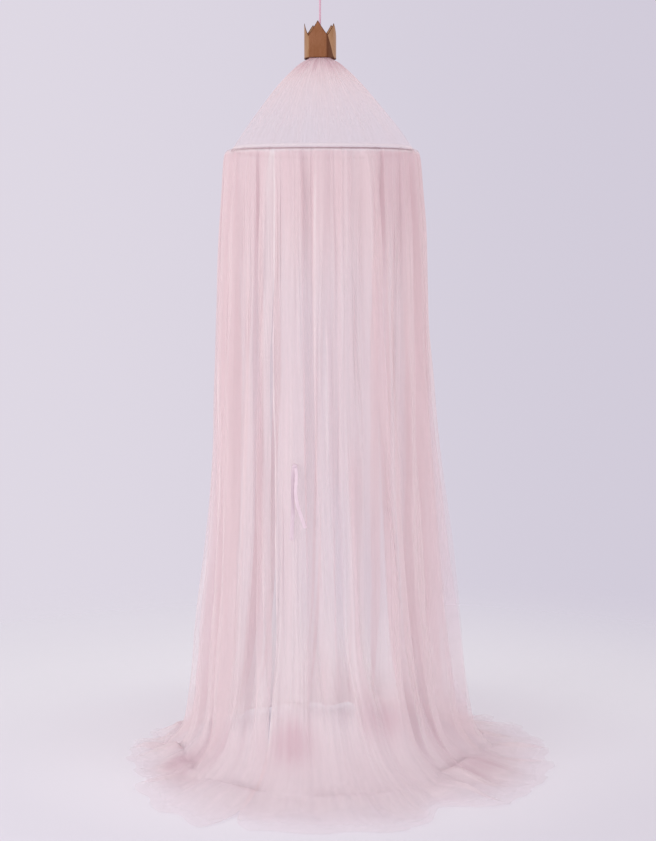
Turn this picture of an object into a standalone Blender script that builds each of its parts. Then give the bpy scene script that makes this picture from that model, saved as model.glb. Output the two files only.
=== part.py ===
"""A mosquito net canopy: a pleated roof and a long gathered net skirt on a round hoop, hung on one cord.

The skirt falls to the floor and pools there. A five-sided sheet-metal crown sits round the gathered top
of the roof, and a ribbon is tied in front. Metres, +Z up, the front towards -Y. The origin is the
inside top of the hanging loop, and heights in the tables are above the floor.
"""

from collections import namedtuple
from math import atan2, cos, degrees, exp, hypot, pi, radians, sin

import bmesh
import bpy
from mathutils import Vector

# Driving sizes
HANG_HEIGHT = 2.600  # floor to the inside top of the hanging loop
HOOP_HEIGHT = 2.008
HOOP_RADIUS = 0.2975
HOOP_WIRE = 0.005  # diameter
HOOP_X = 0.009  # the hoop hangs this far to the right of the cord
HOOP_POINTS = 56
HOOP_BEND = 0.003  # its sides stand up and its front and back hang down by this
BEND_FADE = 0.1  # the net loses that bend in this height above and below the hoop
CROWN_HEIGHT = 2.309  # its lower edge above the floor
CROWN_RADIUS = 0.0535
CROWN_SIDES = 5
CROWN_SHOULDER = 0.072  # from the lower edge to the notches between the points
CROWN_TURN = radians(-9)  # the front petal faces a little to the left
CORD_DIAMETER = 0.007
NET = 0.0015  # the net's thickness in the solids, and the ribbon's
CLEAR = 0.0003  # between pieces that touch
METAL = 0.0012


def table(columns, *rows):
    """Rows whose values are read by their column's name."""
    row_type = namedtuple("Row", columns)
    return [row_type(*row) for row in rows]


# The crown's petals, from the front round to the right: the height of the point over the lower edge,
# and how round the petal is, from 0, flat between its edges, to 1, part of a round band.
PETALS = table(
    "point bulge",
    (0.119, 0.25),
    (0.112, 0.70),
    (0.115, 0.85),
    (0.115, 0.85),
    (0.113, 0.80),
)
PETAL_STRIPS = 4

# The roof, from the neck under the cord down to the hoop: height over the crown's lower edge,
# radius, and how deep the pleats are there.
ROOF = table(
    "over radius pleat",
    (0.046, 0.0110, 0.0020),
    (0.030, 0.0130, 0.0030),
    (0.014, 0.0270, 0.0050),
    (0.000, 0.0385, 0.0050),
    (-0.008, 0.0560, 0.0060),
    (-0.041, 0.0960, 0.0070),
    (-0.085, 0.1390, 0.0070),
    (-0.149, 0.1920, 0.0050),
    (-0.219, 0.2465, 0.0030),
    (-0.2955, 0.2970, 0.0010),
)
ROOF_PLEATS = 22
PLEAT_SHIFT = 0.22  # how far a pleat strays from its even place, in half pleats
PLEAT_CHANGE = 0.4  # how much shallower than the deepest a pleat may be
PLEAT_STEP = 2.9  # how much both change from one half pleat to the next, in radians

# The skirt's sections: height over the floor, the outer reach to each side of the cord's line, and
# how deep the folds are.
SKIRT = table(
    "height left right front back fold",
    (2.0120, 0.2922, 0.3102, 0.3012, 0.3012, 0.0010),
    (2.0110, 0.3020, 0.3185, 0.3100, 0.3100, 0.0040),
    (2.0000, 0.3115, 0.3250, 0.3185, 0.3185, 0.0090),
    (1.9700, 0.3175, 0.3310, 0.3240, 0.3240, 0.0140),
    (1.8900, 0.3230, 0.3380, 0.3280, 0.3280, 0.0200),
    (1.7400, 0.3340, 0.3520, 0.3360, 0.3360, 0.0270),
    (1.5100, 0.3430, 0.3620, 0.3460, 0.3450, 0.0340),
    (1.2400, 0.3510, 0.3730, 0.3560, 0.3540, 0.0390),
    (0.9800, 0.3550, 0.3840, 0.3660, 0.3620, 0.0430),
    (0.7000, 0.3620, 0.3980, 0.3800, 0.3720, 0.0460),
    (0.4500, 0.3800, 0.4130, 0.3960, 0.3860, 0.0480),
    (0.2500, 0.3960, 0.4280, 0.4140, 0.4000, 0.0460),
    (0.1200, 0.4120, 0.4460, 0.4320, 0.4140, 0.0420),
    (0.0400, 0.4480, 0.4860, 0.4660, 0.4400, 0.0340),
)

# The cloth on the floor, from where it turns out to the hem: part of the way, and the heights of a
# furrow and of a ridge.
POOL = table(
    "way furrow ridge fold",
    (0.10, 0.0120, 0.0420, 0.022),
    (0.26, 0.0140, 0.0540, 0.016),
    (0.45, 0.0080, 0.0380, 0.014),
    (0.66, 0.0060, 0.0300, 0.014),
    (0.85, 0.0040, 0.0200, 0.016),
    (1.00, 0.0030, 0.0090, 0.022),
)

# The hem's outline on the floor: the side it faces, in degrees from the front round to the right, and
# its distance from the cord's line.
HEM = table(
    "side reach",
    (-150, 0.600),
    (-120, 0.610),
    (-100, 0.640),
    (-82, 0.655),
    (-64, 0.650),
    (-48, 0.745),
    (-34, 0.810),
    (-24, 0.858),
    (-10, 0.835),
    (2, 0.850),
    (22, 0.848),
    (31, 0.725),
    (42, 0.815),
    (60, 0.805),
    (84, 0.780),
    (104, 0.770),
    (118, 0.745),
    (150, 0.620),
    (180, 0.590),
)

# Broad folds that stand out from the rest: side in degrees, half width in degrees, the height where
# they start, and how far they stand out near the floor.
FLARES = table(
    "side half start out",
    (86, 15, 1.48, 0.068),
    (-93, 13, 1.36, 0.046),
    (158, 15, 1.40, 0.040),
    (-40, 10, 0.90, 0.020),
)
FLARE_FULL = 0.30  # the height where they stand out most
RIDGE_LIFT = 0.35  # a broad fold's furrow stands out this much less than its ridge

# The folds wander sideways as they fall: waves in the whole turn, where they start, and by how much
# at the floor.
SWAY = table("waves start degrees", (3, 0.6, 2.6), (7, 2.1, 1.3))

# No two folds are alike: how much deeper or shallower they get, how much that changes from one fold
# to the next, and how much with each metre of fall or from the foot to the hem.
Lively = namedtuple("Lively", "amount each along")
WALL_LIVELY = Lively(0.25, 2.3, 3.1)
POOL_LIVELY = Lively(0.35, 1.7, 4.0)

# The folds, from the front opening round by the right: share of the turn, and share of the depth.
FOLDS = table(
    "share depth",
    (1.45, 0.75), (1.2, 0.95), (0.9, 0.70), (1.3, 1.00),  # front
    (0.8, 1.10), (1.2, 0.80), (0.9, 1.05), (0.7, 1.20),  # front right
    (0.8, 0.90), (1.1, 1.15), (0.7, 1.25), (0.9, 0.85),  # right
    (1.1, 1.00), (0.8, 0.90), (1.2, 1.10), (0.9, 0.80),  # back right
    (1.0, 1.05), (1.2, 0.95), (0.8, 1.15), (1.1, 0.85),  # back
    (0.9, 1.00), (0.7, 1.20), (1.0, 0.90), (0.8, 1.15),  # left
    (1.2, 0.85), (0.9, 1.05), (1.3, 0.80), (0.8, 0.95),  # front left
)
# Where a fold's furrow starts and ends, and its ridge, in shares of the fold; 1 is deepest.
FOLD_TURNS = table("at deep", (0.08, 1.0), (0.38, 1.0), (0.58, 0.0), (0.90, 0.0))

# The front opening: height, the side it faces in degrees, and how far apart its edges hang.
SLIT = table(
    "height side gap",
    (2.02, -25.5, 0.004),
    (1.40, -25.5, 0.005),
    (1.10, -25.8, 0.009),
    (0.55, -24.5, 0.010),
    (0.25, -22.5, 0.007),
    (0.04, -21.0, 0.010),
)
SLIT_HEM_SIDE = -19.0
SLIT_HEM_GAP = 0.090

# The ribbon: its knot, and each tail as places over the floor, to the side, and off the net.
KNOT_SIZE = (0.016, 0.011, 0.013)
TIE_HEIGHT = 1.018
TIE_X = -0.078
TIE_OFF = 0.0085  # the knot's middle from the ridge that it is sewn to
RIBBON_WIDTH = 0.012
TAILS = {
    "left": table(
        "x height off turn",
        (-0.080, 1.016, 0.000, 10),
        (-0.084, 0.990, 0.003, 25),
        (-0.085, 0.930, 0.004, 40),
        (-0.084, 0.870, 0.003, 15),
        (-0.087, 0.820, 0.004, -10),
        (-0.088, 0.786, 0.005, -25),
    ),
    "right": table(
        "x height off turn",
        (-0.076, 1.016, 0.000, -15),
        (-0.073, 0.990, 0.005, -35),
        (-0.075, 0.940, 0.008, -30),
        (-0.070, 0.900, 0.009, 0),
        (-0.057, 0.860, 0.008, 20),
        (-0.044, 0.826, 0.007, 30),
    ),
}

# The cord: it leaves the gathered neck and ends in a knot under the hanging loop.
CORD_LOW = CROWN_HEIGHT + ROOF[0].over + 0.002
KNOT_HEIGHT = 2.532
CORD_KNOT_SIZE = (0.021, 0.018, 0.026)
LOOP_WIDTH = 0.030
LOOP_LOW, LOOP_HIGH = 0.45, 1.30  # shares of its width at the foot and at the top: a drop's shape
LOOP_POINTS = 22
CORD_STEP = 0.016


def z_of(height):
    return height - HANG_HEIGHT


def collection(name):
    made = bpy.data.collections.new(name)
    bpy.context.scene.collection.children.link(made)
    return made


for old in list(bpy.data.objects):
    bpy.data.objects.remove(old)
PARTS = collection("mosquito_net_canopy")
HELPERS = collection("cutters")


def material(name, colour, roughness, metallic=0.0):
    made = bpy.data.materials.new(name)
    made.use_nodes = True
    shader = made.node_tree.nodes["Principled BSDF"]
    shader.inputs["Base Color"].default_value = (*colour, 1.0)
    shader.inputs["Roughness"].default_value = roughness
    shader.inputs["Metallic"].default_value = metallic
    made.diffuse_color = (*colour, 1.0)
    return made


def add(name, data, finish, where=PARTS):
    made = bpy.data.objects.new(name, data)
    made.data.materials.append(finish)
    where.objects.link(made)
    return made


def smooth(obj, angle=40):
    obj.data.shade_smooth()
    obj.data.set_sharp_from_angle(angle=radians(angle))
    return obj


def thicken(obj, thickness, offset=0.0):
    shell = obj.modifiers.new("thickness", "SOLIDIFY")
    shell.thickness = thickness
    shell.offset = offset
    shell.use_even_offset = True
    return obj


def ease(x):
    x = min(1.0, max(0.0, x))
    return x * x * (3 - 2 * x)


def blend(low, high, share):
    return low + (high - low) * share


def at_height(rows, height):
    """A table's row at any height, between its rows from the top down."""
    for upper, lower in zip(rows, rows[1:]):
        if upper.height >= height >= lower.height:
            share = (upper.height - height) / (upper.height - lower.height)
            return type(upper)(*(blend(a, b, share) for a, b in zip(upper, lower)))
    return rows[0] if height > rows[0].height else rows[-1]


def hem_reach(side):
    """The hem's distance at a side in degrees, eased between the outline's rows."""
    side = (side + 180) % 360 - 180
    for row, after in zip(HEM, HEM[1:]):
        if row.side <= side <= after.side:
            return blend(row.reach, after.reach, ease((side - row.side) / (after.side - row.side)))
    share = (side + 180) / (HEM[0].side + 180)
    return blend(HEM[-1].reach, HEM[0].reach, ease(share))


def reach(side, row):
    """The distance to a section's oval, which reaches a different way to each side."""
    across = sin(side) / (row.right if sin(side) > 0 else row.left)
    deep = cos(side) / (row.front if cos(side) > 0 else row.back)
    return 1 / hypot(across, deep)


def flare(side, height):
    """How far the broad folds stand out here."""
    out = 0.0
    for row in FLARES:
        away = (degrees(side) - row.side + 180) % 360 - 180
        grown = ease((row.start - height) / (row.start - FLARE_FULL))
        out += row.out * grown * exp(-((away / row.half) ** 2))
    return out


def sway(side, height):
    """How far a fold has wandered sideways when it has fallen to this height."""
    fall = 1 - height / HOOP_HEIGHT
    return fall * sum(radians(row.degrees) * sin(row.waves * side + row.start) for row in SWAY)


def uneven(number, along, lively):
    """The factor that makes one fold deeper than another, and changes down its length."""
    return 1 + lively.amount * sin(lively.each * number + lively.along * along)


def fold_places():
    """Each column of the skirt: its share of the turn, its depth, and which fold it is in."""
    whole = sum(fold.share for fold in FOLDS)
    start = 0.0
    for number, fold in enumerate(FOLDS):
        for corner in FOLD_TURNS:
            yield (start + corner.at * fold.share) / whole, corner.deep * fold.depth, number
        start += fold.share
    yield 1.0, FOLDS[0].depth, len(FOLDS)


def place(side, distance, height):
    return Vector((distance * sin(side), -distance * cos(side), z_of(height)))


def side_of(turn, height, distance, slit, gap):
    """The side that a column faces: once round, from one edge of the opening to the other."""
    half = gap / distance / 2
    side = radians(slit) + half + turn * (2 * pi - 2 * half)
    return side + sway(side, height) * sin(pi * turn) ** 0.5


def hoop_bend(side):
    return -HOOP_BEND * cos(2 * side)


def skirt_wall(turn, deep, number, row):
    """A point of the hanging part, in a column whose fold is this deep."""
    slit = at_height(SLIT, row.height)
    side = side_of(turn, row.height, (row.left + row.right) / 2, slit.side, slit.gap)
    out = reach(side, row) + flare(side, row.height) * (1 - RIDGE_LIFT * min(1.0, deep))
    fold = row.fold * deep * uneven(number, row.height, WALL_LIVELY)
    bent = hoop_bend(side) * ease(1 - (HOOP_HEIGHT - row.height) / BEND_FADE)
    return place(side, out - fold, row.height + bent)


def skirt_pool(turn, deep, number, row):
    """A point of the part on the floor, where a furrow lies low and a ridge stands up."""
    foot, opening = SKIRT[-1], SLIT[-1]
    slit = blend(opening.side, SLIT_HEM_SIDE, row.way)
    gap = blend(opening.gap, SLIT_HEM_GAP, row.way ** 2)
    start_reach = (foot.left + foot.right) / 2
    side = side_of(turn, 0.0, blend(start_reach, HEM[0].reach, row.way), slit, gap)
    start = reach(side, foot) + flare(side, 0.0)
    factor = uneven(number, row.way, POOL_LIVELY)
    distance = blend(start, hem_reach(degrees(side)), row.way) - row.fold * deep * factor
    height = blend(row.ridge * factor, row.furrow, min(1.0, deep))
    return place(side, distance, max(height, row.furrow))


def grid(name, rows, finish, around):
    """A sheet through rows of points; around closes each row into a ring."""
    mesh = bmesh.new()
    made = [[mesh.verts.new(point) for point in row] for row in rows]
    for upper, lower in zip(made, made[1:]):
        count = len(upper) if around else len(upper) - 1
        for i in range(count):
            j = (i + 1) % len(upper)
            mesh.faces.new((upper[i], lower[i], lower[j], upper[j]))
    data = bpy.data.meshes.new(name)
    mesh.to_mesh(data)
    mesh.free()
    return add(name, data, finish)


def make_skirt(finish):
    columns = list(fold_places())
    rows = [[skirt_wall(*column, row) for column in columns] for row in SKIRT]
    rows += [[skirt_pool(*column, row) for column in columns] for row in POOL]
    return thicken(smooth(grid("skirt", rows, finish, around=False)), NET)


def make_roof(finish):
    """Radial pleats, deep under the crown and gone at the hoop, which pulls the net round."""
    rows = []
    for row in ROOF:
        height = CROWN_HEIGHT + row.over
        shift = HOOP_X * ease((CROWN_HEIGHT - height) / (CROWN_HEIGHT - HOOP_HEIGHT))
        low = ease(1 - (height - HOOP_HEIGHT) / BEND_FADE)
        ring = []
        for i in range(2 * ROOF_PLEATS):
            side = pi * (i + PLEAT_SHIFT * sin(PLEAT_STEP * i)) / ROOF_PLEATS
            depth = row.pleat * (1 - PLEAT_CHANGE * (1 + sin(PLEAT_STEP * i)) / 2) * (i % 2)
            at = place(side, row.radius - depth, height + hoop_bend(side) * low)
            ring.append(at + Vector((shift, 0, 0)))
        rows.append(ring)
    return thicken(smooth(grid("roof", rows, finish, around=True)), NET)


def make_hoop(finish):
    """A wire ring: a curve through points on the bent circle."""
    points = []
    for i in range(HOOP_POINTS):
        side = 2 * pi * i / HOOP_POINTS
        at = place(side, HOOP_RADIUS, HOOP_HEIGHT + hoop_bend(side))
        points.append(at + Vector((HOOP_X, 0, 0)))
    return tube("hoop", points, HOOP_WIRE, finish, closed=True)


def tube(name, points, diameter, finish, closed=False):
    data = bpy.data.curves.new(name, "CURVE")
    data.dimensions = "3D"
    data.bevel_depth = diameter / 2
    data.bevel_resolution = 2
    data.use_fill_caps = not closed
    spline = data.splines.new("POLY")
    spline.points.add(len(points) - 1)
    for point, at in zip(spline.points, points):
        point.co = (*at, 1.0)
    spline.use_cyclic_u = closed
    return add(name, data, finish)


def make_crown(finish):
    """Five petals of one strip, each with a point, bent round and open above and below."""
    mesh = bmesh.new()
    half = pi / CROWN_SIDES
    low, high = [], []
    for i, petal in enumerate(PETALS):
        for step in range(PETAL_STRIPS):
            from_middle = 2 * step / PETAL_STRIPS - 1
            side = CROWN_TURN + half * (2 * i + from_middle)
            flat = CROWN_RADIUS * cos(half) / cos(half * from_middle)
            distance = blend(flat, CROWN_RADIUS, petal.bulge)
            top = blend(petal.point, CROWN_SHOULDER, abs(from_middle))
            low.append(mesh.verts.new(place(side, distance, CROWN_HEIGHT)))
            high.append(mesh.verts.new(place(side, distance, CROWN_HEIGHT + top)))
    for i in range(len(low)):
        j = (i + 1) % len(low)
        mesh.faces.new((low[i], low[j], high[j], high[i]))
    data = bpy.data.meshes.new("crown")
    mesh.to_mesh(data)
    mesh.free()
    return thicken(add("crown", data, finish), METAL, offset=-1.0)


def ball(name, centre, size, finish, where=PARTS, turns=14, rings=10):
    """A squashed ball, its size in full lengths."""
    mesh = bmesh.new()
    bmesh.ops.create_uvsphere(mesh, u_segments=turns, v_segments=rings, radius=0.5)
    bmesh.ops.scale(mesh, vec=Vector(size), verts=mesh.verts)
    bmesh.ops.translate(mesh, vec=Vector(centre), verts=mesh.verts)
    data = bpy.data.meshes.new(name)
    mesh.to_mesh(data)
    mesh.free()
    return smooth(add(name, data, finish, where), 60)


def front_of_skirt(x, height):
    """How far forward the skirt's ridges reach at this place."""
    row = at_height(SKIRT, height)
    side = atan2(x, row.front)
    return (reach(side, row) + flare(side, height)) * cos(side)


def make_tail(name, rows, finish):
    """One end of the ribbon: a flat strip that turns a little as it hangs."""
    rings = []
    for row in rows:
        forward = front_of_skirt(row.x, row.height) + TIE_OFF + row.off
        middle = Vector((row.x, -forward, z_of(row.height)))
        turn = radians(row.turn)
        flat = Vector((cos(turn), sin(turn), 0)) * RIBBON_WIDTH / 2
        through = Vector((-sin(turn), cos(turn), 0)) * NET / 2
        rings.append((middle - flat - through, middle + flat - through,
                      middle + flat + through, middle - flat + through))
    mesh = bmesh.new()
    made = [[mesh.verts.new(point) for point in ring] for ring in rings]
    for upper, lower in zip(made, made[1:]):
        for i in range(4):
            j = (i + 1) % 4
            mesh.faces.new((upper[i], lower[i], lower[j], upper[j]))
    mesh.faces.new(made[0])
    mesh.faces.new(made[-1][::-1])
    bmesh.ops.recalc_face_normals(mesh, faces=mesh.faces)
    data = bpy.data.meshes.new(name)
    mesh.to_mesh(data)
    mesh.free()
    made = add(name, data, finish, HELPERS)
    made.hide_render = True
    made.display_type = "WIRE"
    return made


def make_ribbon(finish):
    """The knot with both free ends joined to it."""
    off = front_of_skirt(TIE_X, TIE_HEIGHT) + TIE_OFF
    knot = ball("ribbon_tie", (TIE_X, -off, z_of(TIE_HEIGHT)), KNOT_SIZE, finish)
    for side, rows in TAILS.items():
        union = knot.modifiers.new("tail_" + side, "BOOLEAN")
        union.operation = "UNION"
        union.object = make_tail("ribbon_tail_" + side, rows, finish)
    return knot


def make_cord(finish):
    top = KNOT_HEIGHT - CORD_KNOT_SIZE[2] / 2 - CLEAR
    count = round((top - CORD_LOW) / CORD_STEP)
    points = []
    for i in range(count + 1):
        height = CORD_LOW + (top - CORD_LOW) * i / count
        points.append(Vector((0, 0, z_of(height))))
    return tube("cord", points, CORD_DIAMETER, finish)


def make_loop(finish):
    """A drop-shaped loop of the same cord, its inside top at the origin."""
    low = z_of(KNOT_HEIGHT + CORD_KNOT_SIZE[2] / 2) + CLEAR + CORD_DIAMETER / 2
    high = CORD_DIAMETER / 2
    points = []
    for i in range(LOOP_POINTS):
        turn = 2 * pi * i / LOOP_POINTS
        up = (1 - cos(turn)) / 2
        wide = LOOP_WIDTH / 2 * sin(turn) * blend(LOOP_LOW, LOOP_HIGH, up)
        points.append(Vector((wide, 0, low + (high - low) * up)))
    return tube("hanging_loop", points, CORD_DIAMETER, finish, closed=True)


def main():
    net = material("net", (0.72, 0.57, 0.60), 0.9)
    gold = material("crown_gold", (0.66, 0.42, 0.22), 0.28, 1.0)
    plastic = material("hoop_plastic", (0.30, 0.20, 0.23), 0.5)
    cord = material("cord", (0.72, 0.47, 0.58), 0.7)
    satin = material("ribbon_satin", (0.80, 0.60, 0.70), 0.35)
    make_skirt(net)
    make_roof(net)
    make_hoop(plastic)
    make_crown(gold)
    make_ribbon(satin)
    make_cord(cord)
    ball("cord_knot", (0, 0, z_of(KNOT_HEIGHT)), CORD_KNOT_SIZE, cord)
    make_loop(cord)


main()
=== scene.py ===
"""The looks of a mosquito net canopy: sheer pink net hung over a round hoop under a metal crown.

Metres, +Z up, the front towards -Y, and the origin at the inside top of the hanging loop. The heights
in the tables are above the floor that the net pools on.
"""

from collections import namedtuple
from math import atan2, cos, pi, radians, sin

import bmesh
import bpy
import numpy as np
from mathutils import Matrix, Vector


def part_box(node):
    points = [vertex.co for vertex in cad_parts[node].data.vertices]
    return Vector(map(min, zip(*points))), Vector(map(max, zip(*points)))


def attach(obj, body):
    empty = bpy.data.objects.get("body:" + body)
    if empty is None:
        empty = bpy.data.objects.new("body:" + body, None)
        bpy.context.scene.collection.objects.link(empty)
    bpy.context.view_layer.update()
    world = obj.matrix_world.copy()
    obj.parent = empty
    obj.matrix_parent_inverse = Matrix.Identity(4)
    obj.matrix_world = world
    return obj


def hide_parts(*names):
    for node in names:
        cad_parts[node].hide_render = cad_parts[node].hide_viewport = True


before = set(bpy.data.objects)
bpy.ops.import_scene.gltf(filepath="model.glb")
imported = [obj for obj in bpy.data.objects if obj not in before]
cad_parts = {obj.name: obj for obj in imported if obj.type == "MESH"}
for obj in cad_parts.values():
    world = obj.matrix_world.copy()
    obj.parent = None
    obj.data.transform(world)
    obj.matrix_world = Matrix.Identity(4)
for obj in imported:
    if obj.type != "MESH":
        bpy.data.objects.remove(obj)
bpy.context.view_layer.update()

BODY = "root"

# ---------------------------------------------------------------- sizes

HANG_HEIGHT = 2.600  # floor to the inside top of the hanging loop
FLOOR = -HANG_HEIGHT
HOOP_HEIGHT = 2.008
HOOP_X = 0.009
HOOP_BEND = 0.003
BEND_FADE = 0.1
CROWN_HEIGHT = 2.309
CROWN_TURN = radians(-9)
CROWN_SIDES = 5
CORD_DIAMETER = 0.007


def table(columns, *rows):
    """Rows whose values are read by their column's name."""
    row_type = namedtuple("Row", columns)
    return [row_type(*row) for row in rows]


Fade = namedtuple("Fade", "start over")  # where something sets in, and over how far it grows
Lively = namedtuple("Lively", "amount each along")  # how uneven the folds are, and in what rhythm
Streaks = namedtuple("Streaks", "seed levels softness")  # threads, with the size of their steps
Threads = namedtuple("Threads", "even fine middle broad")  # how much of each kind of streak counts
Waves = namedtuple("Waves", "seed depth width length")  # soft waves over the cloth, in metres


# The roof: height over the crown's lower edge, radius, and depth of the broad pleats.
ROOF = table(
    "over radius pleat",
    (0.046, 0.0110, 0.0020),
    (0.030, 0.0130, 0.0030),
    (0.014, 0.0270, 0.0050),
    (0.000, 0.0385, 0.0050),
    (-0.008, 0.0560, 0.0055),
    (-0.041, 0.0960, 0.0050),
    (-0.085, 0.1390, 0.0045),
    (-0.149, 0.1920, 0.0030),
    (-0.219, 0.2465, 0.0020),
    (-0.2955, 0.2970, 0.0010),
)
ROOF_PLEATS = 22
PLEAT_SHIFT = 0.22
PLEAT_CHANGE = 0.4
PLEAT_STEP = 2.9

# The hanging net: height, the reach to each side of the cord's line, and depth of the broad folds.
SKIRT = table(
    "height left right front back fold",
    (2.0120, 0.2922, 0.3102, 0.3012, 0.3012, 0.0010),
    (2.0110, 0.3020, 0.3185, 0.3100, 0.3100, 0.0040),
    (2.0000, 0.3115, 0.3250, 0.3185, 0.3185, 0.0090),
    (1.9700, 0.3175, 0.3310, 0.3240, 0.3240, 0.0140),
    (1.8900, 0.3230, 0.3380, 0.3280, 0.3280, 0.0200),
    (1.7400, 0.3340, 0.3520, 0.3360, 0.3360, 0.0270),
    (1.5100, 0.3430, 0.3620, 0.3460, 0.3450, 0.0340),
    (1.2400, 0.3510, 0.3730, 0.3560, 0.3540, 0.0390),
    (0.9800, 0.3550, 0.3840, 0.3660, 0.3620, 0.0430),
    (0.7000, 0.3620, 0.3980, 0.3800, 0.3720, 0.0460),
    (0.4500, 0.3800, 0.4130, 0.3960, 0.3860, 0.0480),
    (0.2500, 0.3970, 0.4300, 0.4240, 0.4020, 0.0400),
    (0.1300, 0.4120, 0.4470, 0.4650, 0.4170, 0.0270),
    (0.0750, 0.4350, 0.4720, 0.5200, 0.4340, 0.0200),
    (0.0400, 0.4680, 0.5060, 0.6000, 0.4620, 0.0150),
)

# The net on the floor: part of the way to the hem, heights of a furrow and a ridge, and fold depth.
POOL = table(
    "way furrow ridge fold",
    (0.00, 0.0400, 0.0400, 0.017),
    (0.10, 0.0310, 0.0390, 0.015),
    (0.26, 0.0220, 0.0330, 0.014),
    (0.45, 0.0120, 0.0270, 0.015),
    (0.66, 0.0080, 0.0200, 0.017),
    (0.85, 0.0050, 0.0130, 0.017),
    (1.00, 0.0030, 0.0070, 0.016),
)

# The hem's outline on the floor: the side it faces in degrees and its distance from the cord's line.
HEM = table(
    "side reach",
    (-150, 0.600),
    (-120, 0.610),
    (-100, 0.640),
    (-82, 0.655),
    (-64, 0.650),
    (-48, 0.745),
    (-34, 0.810),
    (-24, 0.858),
    (-10, 0.835),
    (2, 0.850),
    (22, 0.848),
    (31, 0.725),
    (42, 0.815),
    (60, 0.805),
    (84, 0.780),
    (104, 0.770),
    (118, 0.745),
    (150, 0.620),
    (180, 0.590),
)

# Broad folds that stand out from the rest: side and half width in degrees, where they start, how far.
FLARES = table(
    "side half start out",
    (86, 15, 1.48, 0.068),
    (-93, 13, 1.36, 0.046),
    (158, 15, 1.40, 0.040),
    (-40, 10, 0.90, 0.020),
)
FLARE_FULL = 0.30  # the height where they have their whole reach
FURROW_HELD = 0.35  # how much less the furrows between their ridges stand out

# The folds' slow drift to the side as they fall, and how uneven their depth is.
SWAY = table("waves start degrees", (3, 0.6, 2.6), (7, 2.1, 1.3))
WALL_LIVELY = Lively(0.25, 2.3, 3.1)
POOL_LIVELY = Lively(0.35, 1.7, 4.0)
LEAN = 0.55  # how far a broad fold leans sideways, in shares of its depth
LEAN_START, LEAN_EACH, LEAN_ALONG = 1.3, 4.1, 1.2  # radians: at first, for each fold, down the fall

# The broad folds, from the opening by the right, the back and the left: share of the width, and depth.
FOLDS = table(
    "share depth",
    (1.45, 0.75), (1.2, 0.95), (0.9, 0.70), (1.3, 1.00),  # front
    (0.8, 1.10), (1.2, 0.80), (0.9, 1.05), (0.7, 1.20),  # front right
    (0.8, 0.90), (1.1, 1.15), (0.7, 1.25), (0.9, 0.85),  # right
    (1.1, 1.00), (0.8, 0.90), (1.2, 1.10), (0.9, 0.80),  # back right
    (1.0, 1.05), (1.2, 0.95), (0.8, 1.15), (1.1, 0.85),  # back
    (0.9, 1.00), (0.7, 1.20), (1.0, 0.90), (0.8, 1.15),  # left
    (1.2, 0.85), (0.9, 1.05), (1.3, 0.80), (0.8, 0.95),  # front left
)

# Where each fold turns: the share of its width, and how deep it is there.
FOLD_TURNS = table("at deep", (0.08, 1.0), (0.38, 1.0), (0.58, 0.0), (0.90, 0.0))

# The opening: the side it faces in degrees at each height, and its gap. It ends at the hem.
SLIT = table(
    "height side gap",
    (2.02, -28.0, 0.000),
    (1.90, -28.0, 0.000),
    (1.40, -27.8, 0.002),
    (1.10, -27.2, 0.003),
    (0.55, -25.6, 0.002),
    (0.25, -22.8, 0.000),
    (0.04, -20.0, -0.002),
)
SLIT_HEM_SIDE = -19.0
SLIT_HEM_GAP = 0.090

# The ribbon's tails: places over the floor, to the side and off the net, and the turn of the ribbon.
TIE_HEIGHT = 1.018
TIE_X = -0.078
TIE_OFF = 0.0085
RIBBON_WIDTH = 0.012
TAILS = {
    "left": table(
        "x height off turn",
        (-0.080, 1.016, 0.000, 10),
        (-0.084, 0.990, 0.003, 25),
        (-0.085, 0.930, 0.004, 40),
        (-0.084, 0.870, 0.003, 15),
        (-0.087, 0.820, 0.004, 4),
        (-0.088, 0.786, 0.005, 8),
    ),
    "right": table(
        "x height off turn",
        (-0.076, 1.016, 0.000, -15),
        (-0.073, 0.990, 0.005, -35),
        (-0.075, 0.940, 0.008, -30),
        (-0.070, 0.900, 0.009, -12),
        (-0.057, 0.860, 0.008, -16),
        (-0.046, 0.826, 0.007, -14),
    ),
}

# Fine folds of the thin net, which the solids leave out.
GATHERS = 138  # round the hoop
CLOTH_WIDTH = 5.3  # the net's flat width, gathered to the hoop's 1.9 m
AROUND = 2.15  # metres round the hanging net, for patterns that follow its hung shape
POOL_SPREAD = 1.7  # how much further round it is on the floor
HEM_WIDTH = 0.012  # the folded edges of the opening
FINE_OUT, FINE_SIDE = 0.0022, 0.0017  # how far a fine fold goes out, and to each side
FLAT_CALM = 0.65  # how much calmer and thinner the net is where a broad fold stretches it flat
FOOT_CALM = 0.75  # how much calmer it is near the floor
APRON_CALM = 0.80  # how much calmer the broad folds are at the front, where the net spreads out

# Soft uneven waves: the seed of their draw, how deep they are, and their width and length.
FOLD_WANDER = Waves(31, 2.6, 0.16, 1.4)  # of the fine folds, in radians
FOLD_JITTER = Waves(32, 0.8, 0.05, 0.7)
FOLD_SIZE = Waves(33, 0.42, 0.11, 1.1)
MIDDLE_OUT = Waves(34, 0.0040, 0.052, 0.9)
MIDDLE_SIDE = Waves(35, 0.0031, 0.060, 1.0)
FOOT_OUT = Waves(36, 0.009, 0.20, 0.60)
FOOT_SIDE = Waves(37, 0.006, 0.16, 0.55)
FOOT_UP = Waves(38, 0.005, 0.14, 0.60)
POOL_UP = Waves(41, 0.010, 0.27, 0.80)
POOL_RUMPLE = Waves(42, 0.003, 0.12, 0.80)
POOL_OUT = Waves(43, 0.007, 0.30, 0.80)
HEM_OUT = Waves(44, 0.008, 0.20, 1.0)
ROOF_WANDER = Waves(51, 1.6, 0.2, 0.5)
ROOF_SIZE = Waves(52, 0.4, 0.15, 0.3)

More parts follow.
